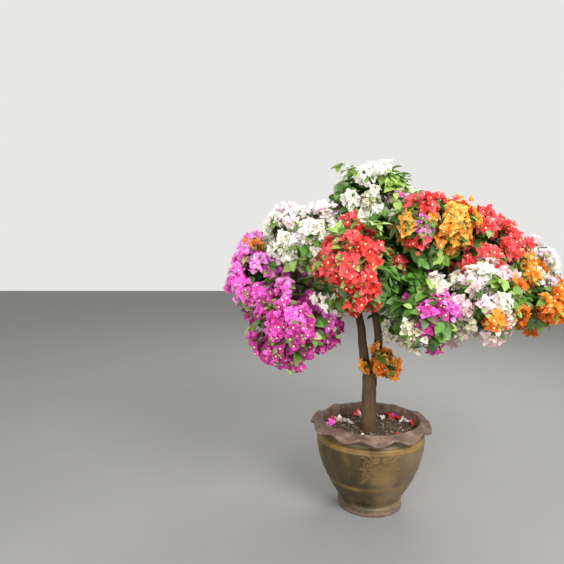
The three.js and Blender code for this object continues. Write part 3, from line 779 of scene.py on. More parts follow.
def along_shoots(order, shoots, chosen, amount, first, last, key):
    """Places at even shares along chosen shoots, each share a little off: the place, the
    direction of the shoot, one across it by the golden turn, the share and the shoot."""
    step = np.arange(amount)[None]
    rows = np.flatnonzero(chosen)[:, None]
    wobble = chance(order * 7 + step, rows, key)
    first, last = (np.broadcast_to(share, len(chosen))[rows] for share in (first, last))
    share = first + (last - first) * (step + wobble) / amount
    path = [shoots[part][rows] for part in ("start", "control", "end")]
    at = arch(*path, share)
    ahead = unit(arch(*path, share + SHOOT_STEP) - at)
    # Not quite upright, so that it never lies along an upright shoot
    radial = round_course(ahead, step * GOLDEN_TURN + SPIN * chance(order, rows, key + 1), UP + 0.01)
    places = (vectors.reshape(-1, 3) for vectors in (at, ahead, radial))
    return (*places, share.ravel(), np.repeat(rows, amount))


def grow_clusters(order, name, shoots, crown):
    """Clusters of bracts in a plume along the last stretch of each flowering shoot, on
    stalks that shorten towards the tip."""
    space, scale = Space(name), size_of_growth(name)
    index = np.arange(len(shoots["colour"]))
    plume = between(PLUME, chance(order, index, 13)) * scale
    start = 1 - np.minimum(PLUME_SHARE, plume / shoots["length"])
    flowering = np.isin(shoots["colour"], FLOWERING)
    at, ahead, radial, share, owner = along_shoots(order, shoots, flowering, crown.clusters, start, 1, 31)
    progress = (share - start[owner]) / (1 - start[owner])
    outward = shoots["outward"][owner]
    radial = unit(radial + STALK_LEAN * outward)
    stalk = between(STALK, progress**1.5) * between(STALK_SIZE, chance(order, owner, share * 997)) * scale
    limit = BRACT_LIMIT + GROOVE_LIMIT * shoots["groove"][owner]
    place = space.pull_in(at + radial * stalk[:, None], limit)
    place = np.clip(place, LOWEST - BRACT_MARGIN, HIGHEST + BRACT_MARGIN)
    shaken = jitter(len(at), 40 + order)
    axis = unit(added(CLUSTER_WAY, radial, ahead, outward, shaken))
    return dict(at=place, root=at, axis=axis, owner=owner, colour=shoots["colour"][owner],
                order=np.full(len(at), order), depth=space.depth(place))


def grow_leaves(order, name, shoots, crown):
    """Leaves along every shoot, fewer where bracts cover it, smaller towards its tip. Those
    of the dark inner shoots are larger."""
    space, scale = Space(name), size_of_growth(name)
    flowering = np.isin(shoots["colour"], FLOWERING)
    pale = np.isin(shoots["colour"], ("white", "blush"))
    parts = []
    # Which shoots, their leaves, the stretch of the shoot that carries them, the key of chance
    for chosen, amount, first, last, key in (
        (flowering, crown.leaves // 2, 0.12, np.where(pale, 0.7, 0.82), 51),
        (~flowering & shoots["outer"], crown.leaves, 0.15, 1, 53),
        (~shoots["outer"], crown.leaves // 2, 0.2, 1, 55),
    ):
        at, ahead, radial, share, owner = along_shoots(order, shoots, chosen, amount, first, last, key)
        deep = shoots["colour"][owner] == "deep"
        shaken = jitter(len(at), key + 20 + order)
        direction = unit(added(LEAF_WAY, radial, ahead, UP, shaken))
        size = between(LEAF_SIZE, chance(order, owner, share * 769)) * scale
        size = size * np.where(share > TIP_LEAVES_FROM, TIP_LEAF_SIZE, 1)
        size = size * np.where(flowering[owner], COVERED_LEAF_SIZE, 1) * np.where(deep, DEEP_LEAF_SIZE, 1)
        tip = at + direction * (crown.leaf_length / MM * size)[:, None]
        drawn_in = space.pull_in(tip, LEAF_LIMIT + GROOVE_LIMIT * shoots["groove"][owner])
        at = at + np.clip(drawn_in, LOWEST - LEAF_MARGIN, HIGHEST + LEAF_MARGIN) - tip
        facing = added(LEAF_FACE, UP, shoots["outward"][owner], shaken)
        parts.append(dict(at=at, direction=direction, facing=facing, size=size, share=share,
                          deep=deep, depth=space.depth(at)))
    return merged(parts)


def limb_leaves(wood):
    """Leaves on the bare limbs: alternate round each by the golden turn, hanging outwards."""
    parts = []
    for order, name in enumerate(LIMB_NODES):
        course, _ = wood[name]
        count = int(course.length / LIMB_LEAF_GAP)
        index = np.arange(count)
        share = between((LIMB_LEAVES_FROM, 1), (index + chance(order, index, 91)) / max(count, 1))
        at, ahead = course.at(share), course.tangent(share)
        radial = round_course(ahead, index * GOLDEN_TURN + SPIN * chance(order, 0, 92))
        shaken = jitter(count, 93 + order)
        parts.append(dict(
            at=at + radial * LIMB_RADIUS[1], direction=unit(added(LIMB_LEAF_WAY, radial, ahead, UP, shaken)),
            facing=added(LIMB_LEAF_FACE, UP, shaken, BACKWARDS),
            size=between(LIMB_LEAF_SIZE, chance(order, index, 94)), share=np.full(count, 0.5),
            deep=chance(order, index, 95) < DARK_LIMB_LEAVES, depth=np.ones(count)))
    return merged(parts)


grown = {}


def grow_crown(crown):
    """Grows every mass once and keeps the courses and the joined arrays of all of them."""
    if grown:
        return grown
    wood, stems = boughs_and_limbs()
    masses = list(enumerate(MASSES))
    twigs = [framework(order, name, stems[name]) for order, name in masses]
    grown["wood"] = wood
    grown["framework"] = [twig for found in twigs for twig in found]
    shoots = [grow_shoots(order, name, twigs[order], crown) for order, name in masses]
    grown["shoots"] = merged(shoots)
    grown["clusters"] = merged([grow_clusters(order, name, shoots[order], crown) for order, name in masses])
    leaves = [grow_leaves(order, name, shoots[order], crown) for order, name in masses]
    grown["leaves"] = merged([*leaves, limb_leaves(wood)])
    return grown


# Pot: columns of its mesh, and its outline as radius and height from the foot up and over
# the flange to the middle of the cavity
POT_COLUMNS = 440
FOOT_PROFILE = [(0, 0), (120, 0), (152, 0), (157, 1.5), (160, 6), (160, 34), (158, 38), (154, 44), (155, 50)]
BELLY_RADIUS = (156, 266)
BELLY_HEIGHT = (56, 364)
BELLY_ROUNDNESS = 0.92
LEDGE_PROFILE = [(266, 366), (267, 371), (264, 377), (257, 381), (252, 388), (250, 402)]
FLANGE_PROFILE = [(258, 417), (272, 423), (290, 425), (299, 428), (300, 434), (296, 440), (284, 441),
                  (268, 440), (256, 443), (248, 447), (242, 446), (240, 441)]
CAVITY_PROFILE = [(240, 420), (240, 400), (240, 370), (240, 340), (213, 170), (136, 24), (120, 22), (0, 22)]
CAVITY_RINGS = 17
# Flange: the width that the outline is drawn for, the radii between which its lobes grow,
# their number, the turn of the first, and how far in their valleys and out their tips lie
FLANGE_WIDTH = 0.6
FLANGE_RADIUS = (250, 300)
FLANGE_FROM = 403
LOBES = 11
FIRST_LOBE = math.radians(-0.5)
LOBE_BULGE = (-9, 2)
# Panels of ornament: their number, turn and height, how much larger than drawn, where the
# belly carries them, and the half sizes of the panel and of its stippled ground
PANELS = 4
PANEL_TURN = math.radians(2)
PANEL_HEIGHT = 272
PANEL_SCALE = (1.14, 1.08)
PANEL_BELLY = (150, 352)
PANEL_HALF = (88, 84)
GROUND_HALF = (80, 74)
# Raised lines round the belly, and the amber bands of glaze with half their width
CORDONS = (168, 357)
CORDON_HALF = 4
LEDGE_BAND = (368, 17)
FOOT_BAND = (160, 11)
# Bare clay: above the first height and below the second, each over a few millimetres
BARE_ABOVE = (398, 404)
BARE_BELOW = (30, 18)
# The foot's underside stays flat
FLAT_BELOW = 8
# Height of the raised lines by that of the ornament, and how uneven the clay is, how widely
CORDON_SHARE = 0.7
UNEVENNESS = 0.8
UNEVEN_WIDTH = 90

# Soil: its outline below the surface, its rings and columns, and its rise along the wall
SOIL_UNDER = [(0, 22.5), (135, 22.5), (212, 170), (238, 342), (239.3, 370)]
SOIL_RADIUS = 239.4
SOIL_RINGS = 66
SOIL_COLUMNS = 150
SOIL_EDGE = (215, 240)
SOIL_EDGE_RISE = 2.5
# Its mound round the trunk: height and width. Its lumps: their heights and widths
MOUND = (5, 60)
LUMPS = ((3.5, 42), (1.6, 9))
# Crumbs: their number, how far out and how large they are, and how far from the trunk
CRUMBS = 900
CRUMB_REACH = (-4, 232)
CRUMB_SIZE = (2.2, 9.7)
CRUMB_CLEARANCE = 10
# How high the middles of the fallen clusters lie
FALLEN_RAISE = 7


def belly_radius(height):
    """The belly swells by a quarter sine from its foot to its shoulder."""
    share = ramp(height, *BELLY_HEIGHT)
    return between(BELLY_RADIUS, np.sin(math.pi / 2 * share**BELLY_ROUNDNESS))


def rounded(corners):
    """A profile with its corners cut at a quarter and three quarters of each edge."""
    profile = np.array(corners, float)
    start, end = profile[:-1], profile[1:]
    cut = np.stack([0.75 * start + 0.25 * end, 0.25 * start + 0.75 * end], 1).reshape(-1, 2)
    return np.concatenate([profile[:1], cut, profile[-1:]])


def lathe(profile, columns):
    """A profile of radius and height turned about the Z axis, a point at each end."""
    turn = np.arange(columns) * FULL_TURN / columns
    radius, height = profile[1:-1, 0], profile[1:-1, 1]
    rings = np.stack([radius[:, None] * np.sin(turn), -radius[:, None] * np.cos(turn),
                      np.repeat(height[:, None], columns, 1)], -1)
    return rings, turn


def closed_lathe(rings, first, last):
    """The rings of a lathe joined, with a fan of faces round the first and last heights."""
    points = np.concatenate([rings.reshape(-1, 3), [(0, 0, first), (0, 0, last)]])
    return points, capped_faces(*rings.shape[:2])


def stroke(points, width):
    """A row of points along a line of the ornament, with half the width of its stroke."""
    return np.concatenate([points, np.full((len(points), 1), width)], axis=1)


def ornament_strokes():
    """A flower between scrolls: petals as a wavy ring, tendrils as spirals that wind inwards,
    leaflets as short arcs, all mirrored about the middle."""
    turn = np.linspace(0, FULL_TURN, 90)
    petals = (22 + 5 * np.cos(6 * turn))[:, None] * np.stack([np.sin(turn), np.cos(turn)], -1)
    heart = 8 * np.stack([np.sin(turn), np.cos(turn)], -1)
    strokes = [stroke(petals + (0, 4), 4.2), stroke(heart + (0, 4), 4.5)]
    wind = np.linspace(0, 1, 70)
    for middle, size, start, whirl in (
        ((50, 36), 24, -2.6, 9), ((52, -22), 23, 2.4, -9), ((22, -54), 17, 0.8, 8), ((20, 58), 14, -0.6, -8),
    ):
        radius = size * (1 - 0.86 * wind)
        angle = start + whirl * wind
        spiral = np.stack([radius * np.cos(angle), radius * np.sin(angle)], -1) + middle
        strokes += [stroke(spiral, 3.2), stroke(spiral * (-1, 1), 3.2)]
    for x, y, lean in ((72, 8, 0.2), (36, 4, 1.2), (64, -52, -0.8), (44, 66, 0.7), (70, 62, 0.4)):
        along = np.linspace(-11, 11, 14)
        bow = np.stack([along, 3 * np.cos(along / 8)], -1)
        c, s = math.cos(lean), math.sin(lean)
        leaflet = bow @ np.array([[c, s], [-s, c]]) + (x, y)
        strokes += [stroke(leaflet, 4.2), stroke(leaflet * (-1, 1), 4.2)]
    return np.concatenate(strokes)


def ornament_height(across, up):
    """Relief in millimetres: the highest rounded ridge of any stroke near each place, over
    a stippled ground."""
    near = (np.abs(across) < PANEL_HALF[0]) & (np.abs(up) < PANEL_HALF[1])
    height = np.zeros(across.shape)
    x, y = across[near], up[near]
    strokes = ornament_strokes()
    distance = np.hypot(x[:, None] - strokes[:, 0], y[:, None] - strokes[:, 1]) / strokes[:, 2]
    stipple = np.sin(x / 2.1 + y / 3.4) * np.sin(x / 2.1 - y / 3.4)
    panel = np.exp(-np.hypot(x / GROUND_HALF[0], y / GROUND_HALF[1]) ** 8)
    ground = 0.55 * panel * np.clip(0.4 + stipple, 0, 1) + 0.12 * panel
    height[near] = np.maximum(np.exp(-distance.min(1) ** 2.2), ground)
    return height


class PotSettings(bpy.types.PropertyGroup):
    """Sizes and colours of the pot."""

    flange_width: FloatProperty(
        name="Flange width", description="Width of the pot across its flange", unit="LENGTH",
        default=FLANGE_WIDTH, min=0.3)
    lobe_drop: FloatProperty(
        name="Lobe drop", description="How far each lobe of the flange droops", unit="LENGTH",
        default=0.021, min=0)
    relief: FloatProperty(
        name="Relief", description="Height of the raised ornament", unit="LENGTH",
        default=0.0032, min=0)
    glaze: FloatVectorProperty(
        name="Glaze", description="Colour of the ash glaze on the body", subtype="COLOR",
        default=(0.038, 0.024, 0.008), min=0, max=1)
    clay: FloatVectorProperty(
        name="Clay", description="Colour of the bare clay", subtype="COLOR",
        default=(0.115, 0.07, 0.05), min=0, max=1)


class WoodSettings(bpy.types.PropertyGroup):
    """Bark of the trunk, boughs and limbs."""

    furrow: FloatProperty(
        name="Furrow", description="Depth of the furrows in the trunk's bark", unit="LENGTH",
        default=0.0024, min=0)
    bark: FloatVectorProperty(
        name="Bark", description="Colour of the bark's ridges", subtype="COLOR",
        default=(0.13, 0.074, 0.035), min=0, max=1)


class CrownSettings(bpy.types.PropertyGroup):
    """How thickly the crown grows."""

    shoots: IntProperty(
        name="Shoots", description="Outer shoots of a mass 380 mm across", default=58, min=4)
    clusters: IntProperty(
        name="Clusters", description="Clusters of three bracts on a flowering shoot", default=13, min=1)
    leaves: IntProperty(name="Leaves", description="Leaves on a leafy shoot", default=13, min=2)
    bract_length: FloatProperty(
        name="Bract length", description="Length of one bract", unit="LENGTH", default=0.029)
    leaf_length: FloatProperty(
        name="Leaf length", description="Length of a full leaf", unit="LENGTH", default=0.066)


class StageSettings(bpy.types.PropertyGroup):
    """Floor and light."""

    light: FloatProperty(
        name="Light", description="Power of the main soft light", unit="POWER",
        default=340, min=0)
    floor: FloatVectorProperty(
        name="Floor", description="Colour of the floor", subtype="COLOR",
        default=(0.2, 0.198, 0.19), min=0, max=1)


# Materials
def linear(code):
    """An sRGB hex colour as linear red, green and blue, with full alpha."""
    srgb = np.array([int(code[i:i + 2], 16) for i in (1, 3, 5)]) / 255
    rgb = np.where(srgb <= 0.04045, srgb / 12.92, ((srgb + 0.055) / 1.055) ** 2.4)
    return (*rgb.tolist(), 1.0)


def add_node(material, kind, inputs=(), stops=(), output=0, **settings):
    """Adds a node with its settings, ramp colours, input values and links, and gives back
    one of its outputs."""
    node = material.node_tree.nodes.new(f"ShaderNode{kind}")
    for name, value in settings.items():
        setattr(node, name, value)
    for number, (place, colour) in enumerate(stops):
        points = node.color_ramp.elements
        point = points[number] if number < 2 else points.new(place)
        point.position, point.color = place, colour
    for name, value in dict(inputs).items():
        if isinstance(value, bpy.types.NodeSocket):
            material.node_tree.links.new(value, node.inputs[name])
        else:
            node.inputs[name].default_value = value
    return node.outputs[output] if node.outputs else None


def new_material(name):
    """An empty material, add_node for it, and its Object coordinates."""
    material = bpy.data.materials.new(name)
    material.use_nodes = True
    material.node_tree.nodes.clear()
    add = functools.partial(add_node, material)
    return material, add, add("TexCoord", output="Object")


def dimmed(colour, share=1):
    """A colour with its light cut to a share, with full alpha."""
    return (*(share * channel for channel in colour[:3]), 1.0)


def thin_blade(name, code, roughness, glow, vein):
    """A leaf or papery bract: thin tissue that light also passes through. Patches of a
    few millimetres vary the tone a little, as veins and waxy spots do."""
    material, add, place = new_material(name)
    colour = linear(code)
    patches = add("TexNoise", {"Vector": place, "Scale": 1 / vein, "Detail": 3})
    tone = add("ValToRGB", {"Fac": patches}, ((0.3, dimmed(colour, 0.82)), (0.65, colour)))
    bump = add("Bump", {"Height": patches, "Strength": 0.25, "Distance": 0.0015})
    skin = add("BsdfPrincipled", {"Base Color": tone, "Roughness": roughness, "IOR": 1.45, "Normal": bump})
    through = add("BsdfTranslucent", {"Color": tone})
    mixed = add("MixShader", {0: glow, 1: skin, 2: through})
    add("OutputMaterial", {"Surface": mixed})
    return material


def bark_material(name, ridge, furrow, length):
    """Bark: furrows that run along the wood, darker than the grey ridges between them,
    rough and without gloss, with darker blotches, and painted shade that darkens it towards the top, under
    the crown."""
    material, add, place = new_material(name)
    drawn = add("Mapping", {"Vector": place, "Scale": (1, 1, length)})
    grain = add("TexNoise", {"Vector": drawn, "Scale": 90, "Detail": 6, "Roughness": 0.65})
    blotches = add("TexNoise", {"Vector": place, "Scale": 14, "Detail": 3})
    tone = add("ValToRGB", {"Fac": grain}, ((0.34, furrow), (0.62, ridge)))
    height = add("SeparateXYZ", {"Vector": place}, output="Z")
    # Painted shade: the wood darkens with height, up into the crown, on top of the random blotches
    shaded = add("MapRange", {"Value": height, "From Min": 0.66, "From Max": 0.95, "To Max": 0.3})
    blotches_and_painted_shade = add("Math", {0: blotches, 1: shaded}, operation="ADD", use_clamp=True)
    blotched_bark_with_painted_shade = add("Mix", {0: blotches_and_painted_shade, 6: tone, 7: dimmed(ridge, 0.5)}, output=2, data_type="RGBA")
    bump = add("Bump", {"Height": grain, "Strength": 0.8, "Distance": 0.0045})
    skin = add("BsdfPrincipled",
               {"Base Color": blotched_bark_with_painted_shade, "Roughness": 0.88, "Specular IOR Level": 0.3, "Normal": bump})
    add("OutputMaterial", {"Surface": skin})
    return material


def glazed_clay(settings):
    """Stoneware with an ash glaze that runs and pools on the body, with hazy patches and a
    painted sky reflection that lightens its right side, ochre slip on the raised ornament,
    an amber band on the ledge, and bare clay on the flange and inside."""
    material, add, place = new_material("ash glaze on stoneware")
    glaze, clay = dimmed(settings.glaze), dimmed(settings.clay)
    raised, bare, amber = (
        add("Attribute", output="Fac", attribute_name=name) for name in ("raised", "bare", "amber"))
    runs = add("Mapping", {"Vector": place, "Scale": (1, 1, 0.45)})
    streaks = add("TexNoise", {"Vector": runs, "Scale": 15, "Detail": 6, "Roughness": 0.66})
    haze = add("TexNoise", {"Vector": place, "Scale": 7, "Detail": 3})
    grit = add("TexNoise", {"Vector": place, "Scale": 260, "Detail": 3})
    pooled = ((0.28, dimmed(glaze, 0.6)), (0.52, glaze), (0.78, linear("#5f4920")))
    glazed = add("ValToRGB", {"Fac": streaks}, pooled)
    # The glaze is duller in hazy patches, and a painted sky reflection makes it lighter and greyer
    # towards the right side and takes the haze off the left, which stays darker
    hazed = add("MapRange", {"Value": haze, "From Min": 0.45, "From Max": 0.75, "To Max": 0.55})
    side = add("SeparateXYZ", {"Vector": place}, output="X")
    painted_reflection = add("MapRange",
                    {"Value": side, "From Min": -0.2, "From Max": 0.26, "To Min": -0.4, "To Max": 0.75})
    haze_and_painted_reflection = add("Math", {0: hazed, 1: painted_reflection}, operation="ADD", use_clamp=True)
    rubbed = add("Math", {0: raised, 1: streaks}, operation="MULTIPLY")
    slip = add("MapRange", {"Value": rubbed, "From Min": 0.06, "From Max": 0.5, "To Max": 0.8})
    band = add("MapRange", {"Value": amber, "From Min": 0.1, "From Max": 1.0, "To Max": 0.62})
    # 78654a serves both the haze and the painted sky reflection
    for share, over in ((haze_and_painted_reflection, "#78654a"), (slip, "#6e5527"), (band, "#8a6a30")):
        glazed = add("Mix", {0: share, 6: glazed, 7: linear(over)}, output=2, data_type="RGBA")
    mottle = add("TexNoise", {"Vector": place, "Scale": 19, "Detail": 6, "Roughness": 0.68})
    dust = ((0.34, dimmed(clay, 0.55)), (0.5, clay), (0.68, linear("#7d6a58")))
    dusty = add("ValToRGB", {"Fac": mottle}, dust)
    flecked = add("Mix", {0: 0.35, 6: dusty, 7: grit}, output=2, data_type="RGBA", blend_type="OVERLAY")
    colour = add("Mix", {0: bare, 6: glazed, 7: flecked}, output=2, data_type="RGBA")
    roughness = add("MapRange", {"Value": bare, "To Min": 0.48, "To Max": 0.88})
    # Throwing rings, with grit between them
    rings = add("TexWave",
                {"Vector": place, "Scale": 13, "Distortion": 1.2, "Detail": 2, "Detail Scale": 0.8},
                output="Fac", bands_direction="Z")
    relief = add("Math", {0: rings, 1: 0.3, 2: grit}, operation="MULTIPLY_ADD")
    bump = add("Bump", {"Height": relief, "Strength": 0.4, "Distance": 0.0015})
    skin = add("BsdfPrincipled",
               {"Base Color": colour, "Roughness": roughness, "IOR": 1.52, "Specular IOR Level": 0.36,
                "Normal": bump})
    add("OutputMaterial", {"Surface": skin})
    return material


def loose_matter(name, low, high, grain):
    """Soil, grit or chips: matte, with a speckle as large as the grain, in millimetres."""
    material, add, place = new_material(name)
    speckle = add("TexNoise", {"Vector": place, "Scale": 1 / MM / grain / 2, "Detail": 5, "Roughness": 0.7})
    tone = add("ValToRGB", {"Fac": speckle}, ((0.35, linear(low)), (0.68, linear(high))))
    bump = add("Bump", {"Height": speckle, "Strength": 0.8, "Distance": 0.003})
    skin = add("BsdfPrincipled", {"Base Color": tone, "Roughness": 0.95, "Normal": bump})
    add("OutputMaterial", {"Surface": skin})
    return material


def plaster(colour):
    """The pale floor: matte, with faint clouds."""
    material, add, place = new_material("pale plaster floor")
    cloud = add("TexNoise", {"Vector": place, "Scale": 3, "Detail": 4})
    clouds = ((0.3, dimmed(colour, 0.97)), (0.7, dimmed(colour)))
    tone = add("ValToRGB", {"Fac": cloud}, clouds)
    skin = add("BsdfPrincipled", {"Base Color": tone, "Roughness": 0.9})
    add("OutputMaterial", {"Surface": skin})
    return material


# Operators
class BOUGAINVILLEA_OT_pot(bpy.types.Operator):
    """Throw the pot: a full belly, a ledge and a flange in drooping lobes, with raised ornament"""

    bl_idname = "bougainvillea.pot"
    bl_label = "Pot"

    def execute(self, context):
        settings = context.scene.bougainvillea_pot
        heights = np.linspace(BELLY_HEIGHT[0], BELLY_HEIGHT[1] - 2, 62)
        belly = np.stack([belly_radius(heights), heights], -1)
        profile = np.concatenate([
            rounded(FOOT_PROFILE), belly, rounded(LEDGE_PROFILE + FLANGE_PROFILE + CAVITY_PROFILE)])
        rings, turn = lathe(profile, POT_COLUMNS)
        radius = np.linalg.norm(rings[..., :2], axis=-1)
        height = rings[..., 2].copy()
        inner = (np.arange(len(rings)) >= len(rings) - CAVITY_RINGS)[:, None]
        share = smooth_step(ramp(radius, *FLANGE_RADIUS)) * (height > FLANGE_FROM)
        # Each lobe is broad and its valley narrow, as a thumb leaves it
        swing = np.cos(LOBES * (turn[None] - FIRST_LOBE) + 0.25 * np.sin(3 * turn[None] + 1))
        lobe = ((1 + swing) / 2) ** 0.8 * (1 + 0.12 * np.sin(2 * turn[None] + 0.6))
        drop = share * settings.lobe_drop / MM * lobe
        quarter = FULL_TURN / PANELS
        around = (turn - PANEL_TURN + quarter / 2) % quarter - quarter / 2
        ridge = ornament_height(around[None] * radius / PANEL_SCALE[0],
                                (height - PANEL_HEIGHT) / PANEL_SCALE[1])
        ridge = ridge * (height > PANEL_BELLY[0]) * (height < PANEL_BELLY[1]) * ~inner
        cordon = sum(np.exp(-((height - line) / CORDON_HALF) ** 2) for line in CORDONS) * ~inner
        raised = np.maximum(ridge, CORDON_SHARE * cordon)
        uneven = noise(rings, UNEVEN_WIDTH, 2) * UNEVENNESS
        swell = (raised * settings.relief / MM + uneven) * (height > FLAT_BELOW)
        grown_radius = radius + share * between(LOBE_BULGE, lobe) + swell
        grown_radius = grown_radius * settings.flange_width / FLANGE_WIDTH
        across = np.stack([np.sin(turn), -np.cos(turn)], -1)
        points = np.concatenate([grown_radius[..., None] * across[None], (height - drop)[..., None]], -1)
        above, below = ((height - start) / (end - start) for start, end in (BARE_ABOVE, BARE_BELOW))
        bare = np.maximum(np.clip(above + 0.4 * noise(rings, 25, 2), 0, 1), inner * 1.0)
        bare = np.maximum(bare, np.clip(below + 0.5 * noise(rings, 18, 2), 0, 1))
        ledge, foot = ((height - middle) / half for middle, half in (LEDGE_BAND, FOOT_BAND))
        amber = np.exp(-ledge**2) + 0.75 * np.exp(-foot**4)
        amber = amber * (0.8 + 0.7 * noise(rings, 60, 3)) * ~inner
        points, faces = closed_lathe(points, profile[0, 1], profile[-1, 1])
        surfaces = {"raised": (raised, 0), "bare": (bare, 1), "amber": (amber, 0)}
        attributes = {name: np.append(values.ravel(), [pole, pole]).astype(np.float32)
                      for name, (values, pole) in surfaces.items()}
        make_piece("glazed_pot", one_shade((points, faces)), [glazed_clay(settings)], ["pot"],
                   attributes)
        return {"FINISHED"}


# Fallen bracts on the soil: place and colour
FALLEN = [
    (-205, 48, "magenta"), (-193, 72, "magenta"), (-185, 96, "red"), (-172, 122, "magenta"),
    (-160, 104, "white"), (-142, 120, "white"), (-123, 96, "blush"), (-35, 215, "red"),
    (-28, 192, "blush"), (67, 172, "blush"), (80, 142, "white"), (122, 188, "red"),
    (140, 176, "magenta"), (156, 164, "magenta"), (138, 150, "red"), (168, 140, "red"),
    (187, 105, "white"), (196, 78, "blush"), (219, 52, "red"), (-150, -70, "orange"),
    (30, -186, "magenta"), (-60, -150, "white"), (-100, 60, "white"), (128, -120, "red"),
    (118, -96, "red"),
]


def crumb_shape():
    """A small stone: an octahedron with its points drawn in and out."""
    points = np.array([(1, 0, 0), (0, 1, 0), (-0.8, 0.1, 0.1), (0, -0.9, 0), (0, 0, 0.7), (0.1, 0, -0.6)])
    faces = np.array([(0, 1, 4), (1, 2, 4), (2, 3, 4), (3, 0, 4), (1, 0, 5), (2, 1, 5), (3, 2, 5), (0, 3, 5)])
    return points, faces


def cluster_shape(length, opening):
    """Three bracts round one axis, a third of a turn apart, each bending outwards."""
    points, faces = blade(length, length * 0.8, (16 + opening, 62 + opening), 0.34, 0.4)
    points = points + (1.2, 0, 0)
    return (np.concatenate([turned(points, third * FULL_TURN / 3) for third in range(3)]),
            np.concatenate([faces + third * len(points) for third in range(3)]))


def soil_height(x, y):
    """The soil's surface: two sizes of lump, and a little higher round the trunk."""
    place = np.stack([x, y, 0 * x], -1)
    mound = MOUND[0] * np.exp(-np.hypot(x - TRUNK_X, y) / MOUND[1])
    return SOIL_TOP + mound + sum(height * noise(place, width, 2) for height, width in LUMPS)


class BOUGAINVILLEA_OT_soil(bpy.types.Operator):
    """Fill the pot with soil, crumbs and fallen bracts"""

    bl_idname = "bougainvillea.soil"
    bl_label = "Soil"

    def execute(self, context):
        surface = np.stack([np.linspace(SOIL_RADIUS, 0, SOIL_RINGS), np.full(SOIL_RINGS, SOIL_TOP)], -1)
        rings, _ = lathe(np.concatenate([SOIL_UNDER, surface]), SOIL_COLUMNS)
        radius = np.linalg.norm(rings[..., :2], axis=-1)
        rise = soil_height(rings[..., 0], rings[..., 1]) + SOIL_EDGE_RISE * ramp(radius, *SOIL_EDGE)
        first = len(SOIL_UNDER) - 1
        rings[first:, :, 2] = rise[first:]
        points, faces = closed_lathe(rings, SOIL_UNDER[0][1], SOIL_TOP + 5)
        matter = loose_matter("potting soil", "#201810", "#4a3826", 5)
        make_piece("potting_soil", one_shade((points, faces)), [matter], ["soil"])
        self.scatter_crumbs()
        self.scatter_bracts(context.scene.bougainvillea_crown.bract_length / MM)
        return {"FINISHED"}

    def scatter_crumbs(self):
        """Lays crumbs by the golden turn over the whole soil, apart from the trunk's foot."""
        index = np.arange(CRUMBS)
        reach = between(CRUMB_REACH, np.sqrt(chance(index, 1, 1)))
        angle = index * GOLDEN_TURN
        x, y = reach * np.cos(angle), reach * np.sin(angle)
        clear = np.hypot(x - TRUNK_X, y) > TRUNK_RADIUS + CRUMB_CLEARANCE
        x, y, index = x[clear], y[clear], index[clear]
        size = between(CRUMB_SIZE, chance(index, 2, 2) ** 3)
        origins = np.stack([x, y, soil_height(x, y) + size * 0.25], -1)
        part = repeat(crumb_shape(), origins, jitter(len(x), 3), jitter(len(x), 4) + UP * 1.2, size,
                      np.floor(3 * chance(index, 5, 5)))
        crumbs = [loose_matter(name, low, high, 4) for name, low, high in (
            ("bark chips", "#4a3523", "#7c6143"), ("gravel", "#6d675c", "#a39b8c"),
            ("dry leaf crumbs", "#5f4a2a", "#96794a"))]
        make_piece("soil_crumbs", part, crumbs)

    def scatter_bracts(self, length):
        """Lays the fallen clusters of bracts on the soil, each tipped its own way."""
        x, y = np.array([(x, y) for x, y, _ in FALLEN], float).T
        count = len(x)
        shades = np.array([FLOWERING.index(colour) for _, _, colour in FALLEN])
        lying = jitter(count, 6) * (1, 1, 0.35) + UP * 0.5
        origins = np.column_stack([x, y, soil_height(x, y) + FALLEN_RAISE])
        part = repeat(cluster_shape(length, 36), origins, jitter(count, 7), lying, np.full(count, 0.95),
                      shades)
        withered = [thin_blade(f"fallen {colour} bract", SHADES[colour][1], 0.7, 0.15, 0.006)
                    for colour in FLOWERING]
        make_piece("fallen_bracts", part, withered)


def collar(size, share):
    """The extra radius at the foot of a bough or limb, which falls away along it."""
    return size[0] * np.exp(-share * size[1])


def bark_tube(course, radius_at, sides, rings, furrow):
    """A tube along a course, its radius by the share of the length, and on it bark: long
    furrows as noise drawn out along the wood, and low swellings."""
    share = np.linspace(0, 1, rings)
    paths = course.at(share)[None]
    radius = radius_at(share)
    points, faces = tubes(paths, radius[None], sides)
    wall = points[:-2].reshape(rings, sides, 3)
    away = unit(wall - paths[0][:, None])
    turn = np.arctan2(away[..., 1], away[..., 0])
    along = share[:, None] * course.length + 0 * turn
    radius = radius[:, None]
    drawn = np.stack([np.cos(turn) * radius, np.sin(turn) * radius, along / FURROW_STRETCH], -1)
    relief = furrow * noise(drawn, FURROW_WIDTH, 3) + KNOB * radius * noise(wall, KNOB_WIDTH, 2)
    points[:-2] = (wall + away * relief[..., None]).reshape(-1, 3)
    return one_shade((points, faces))


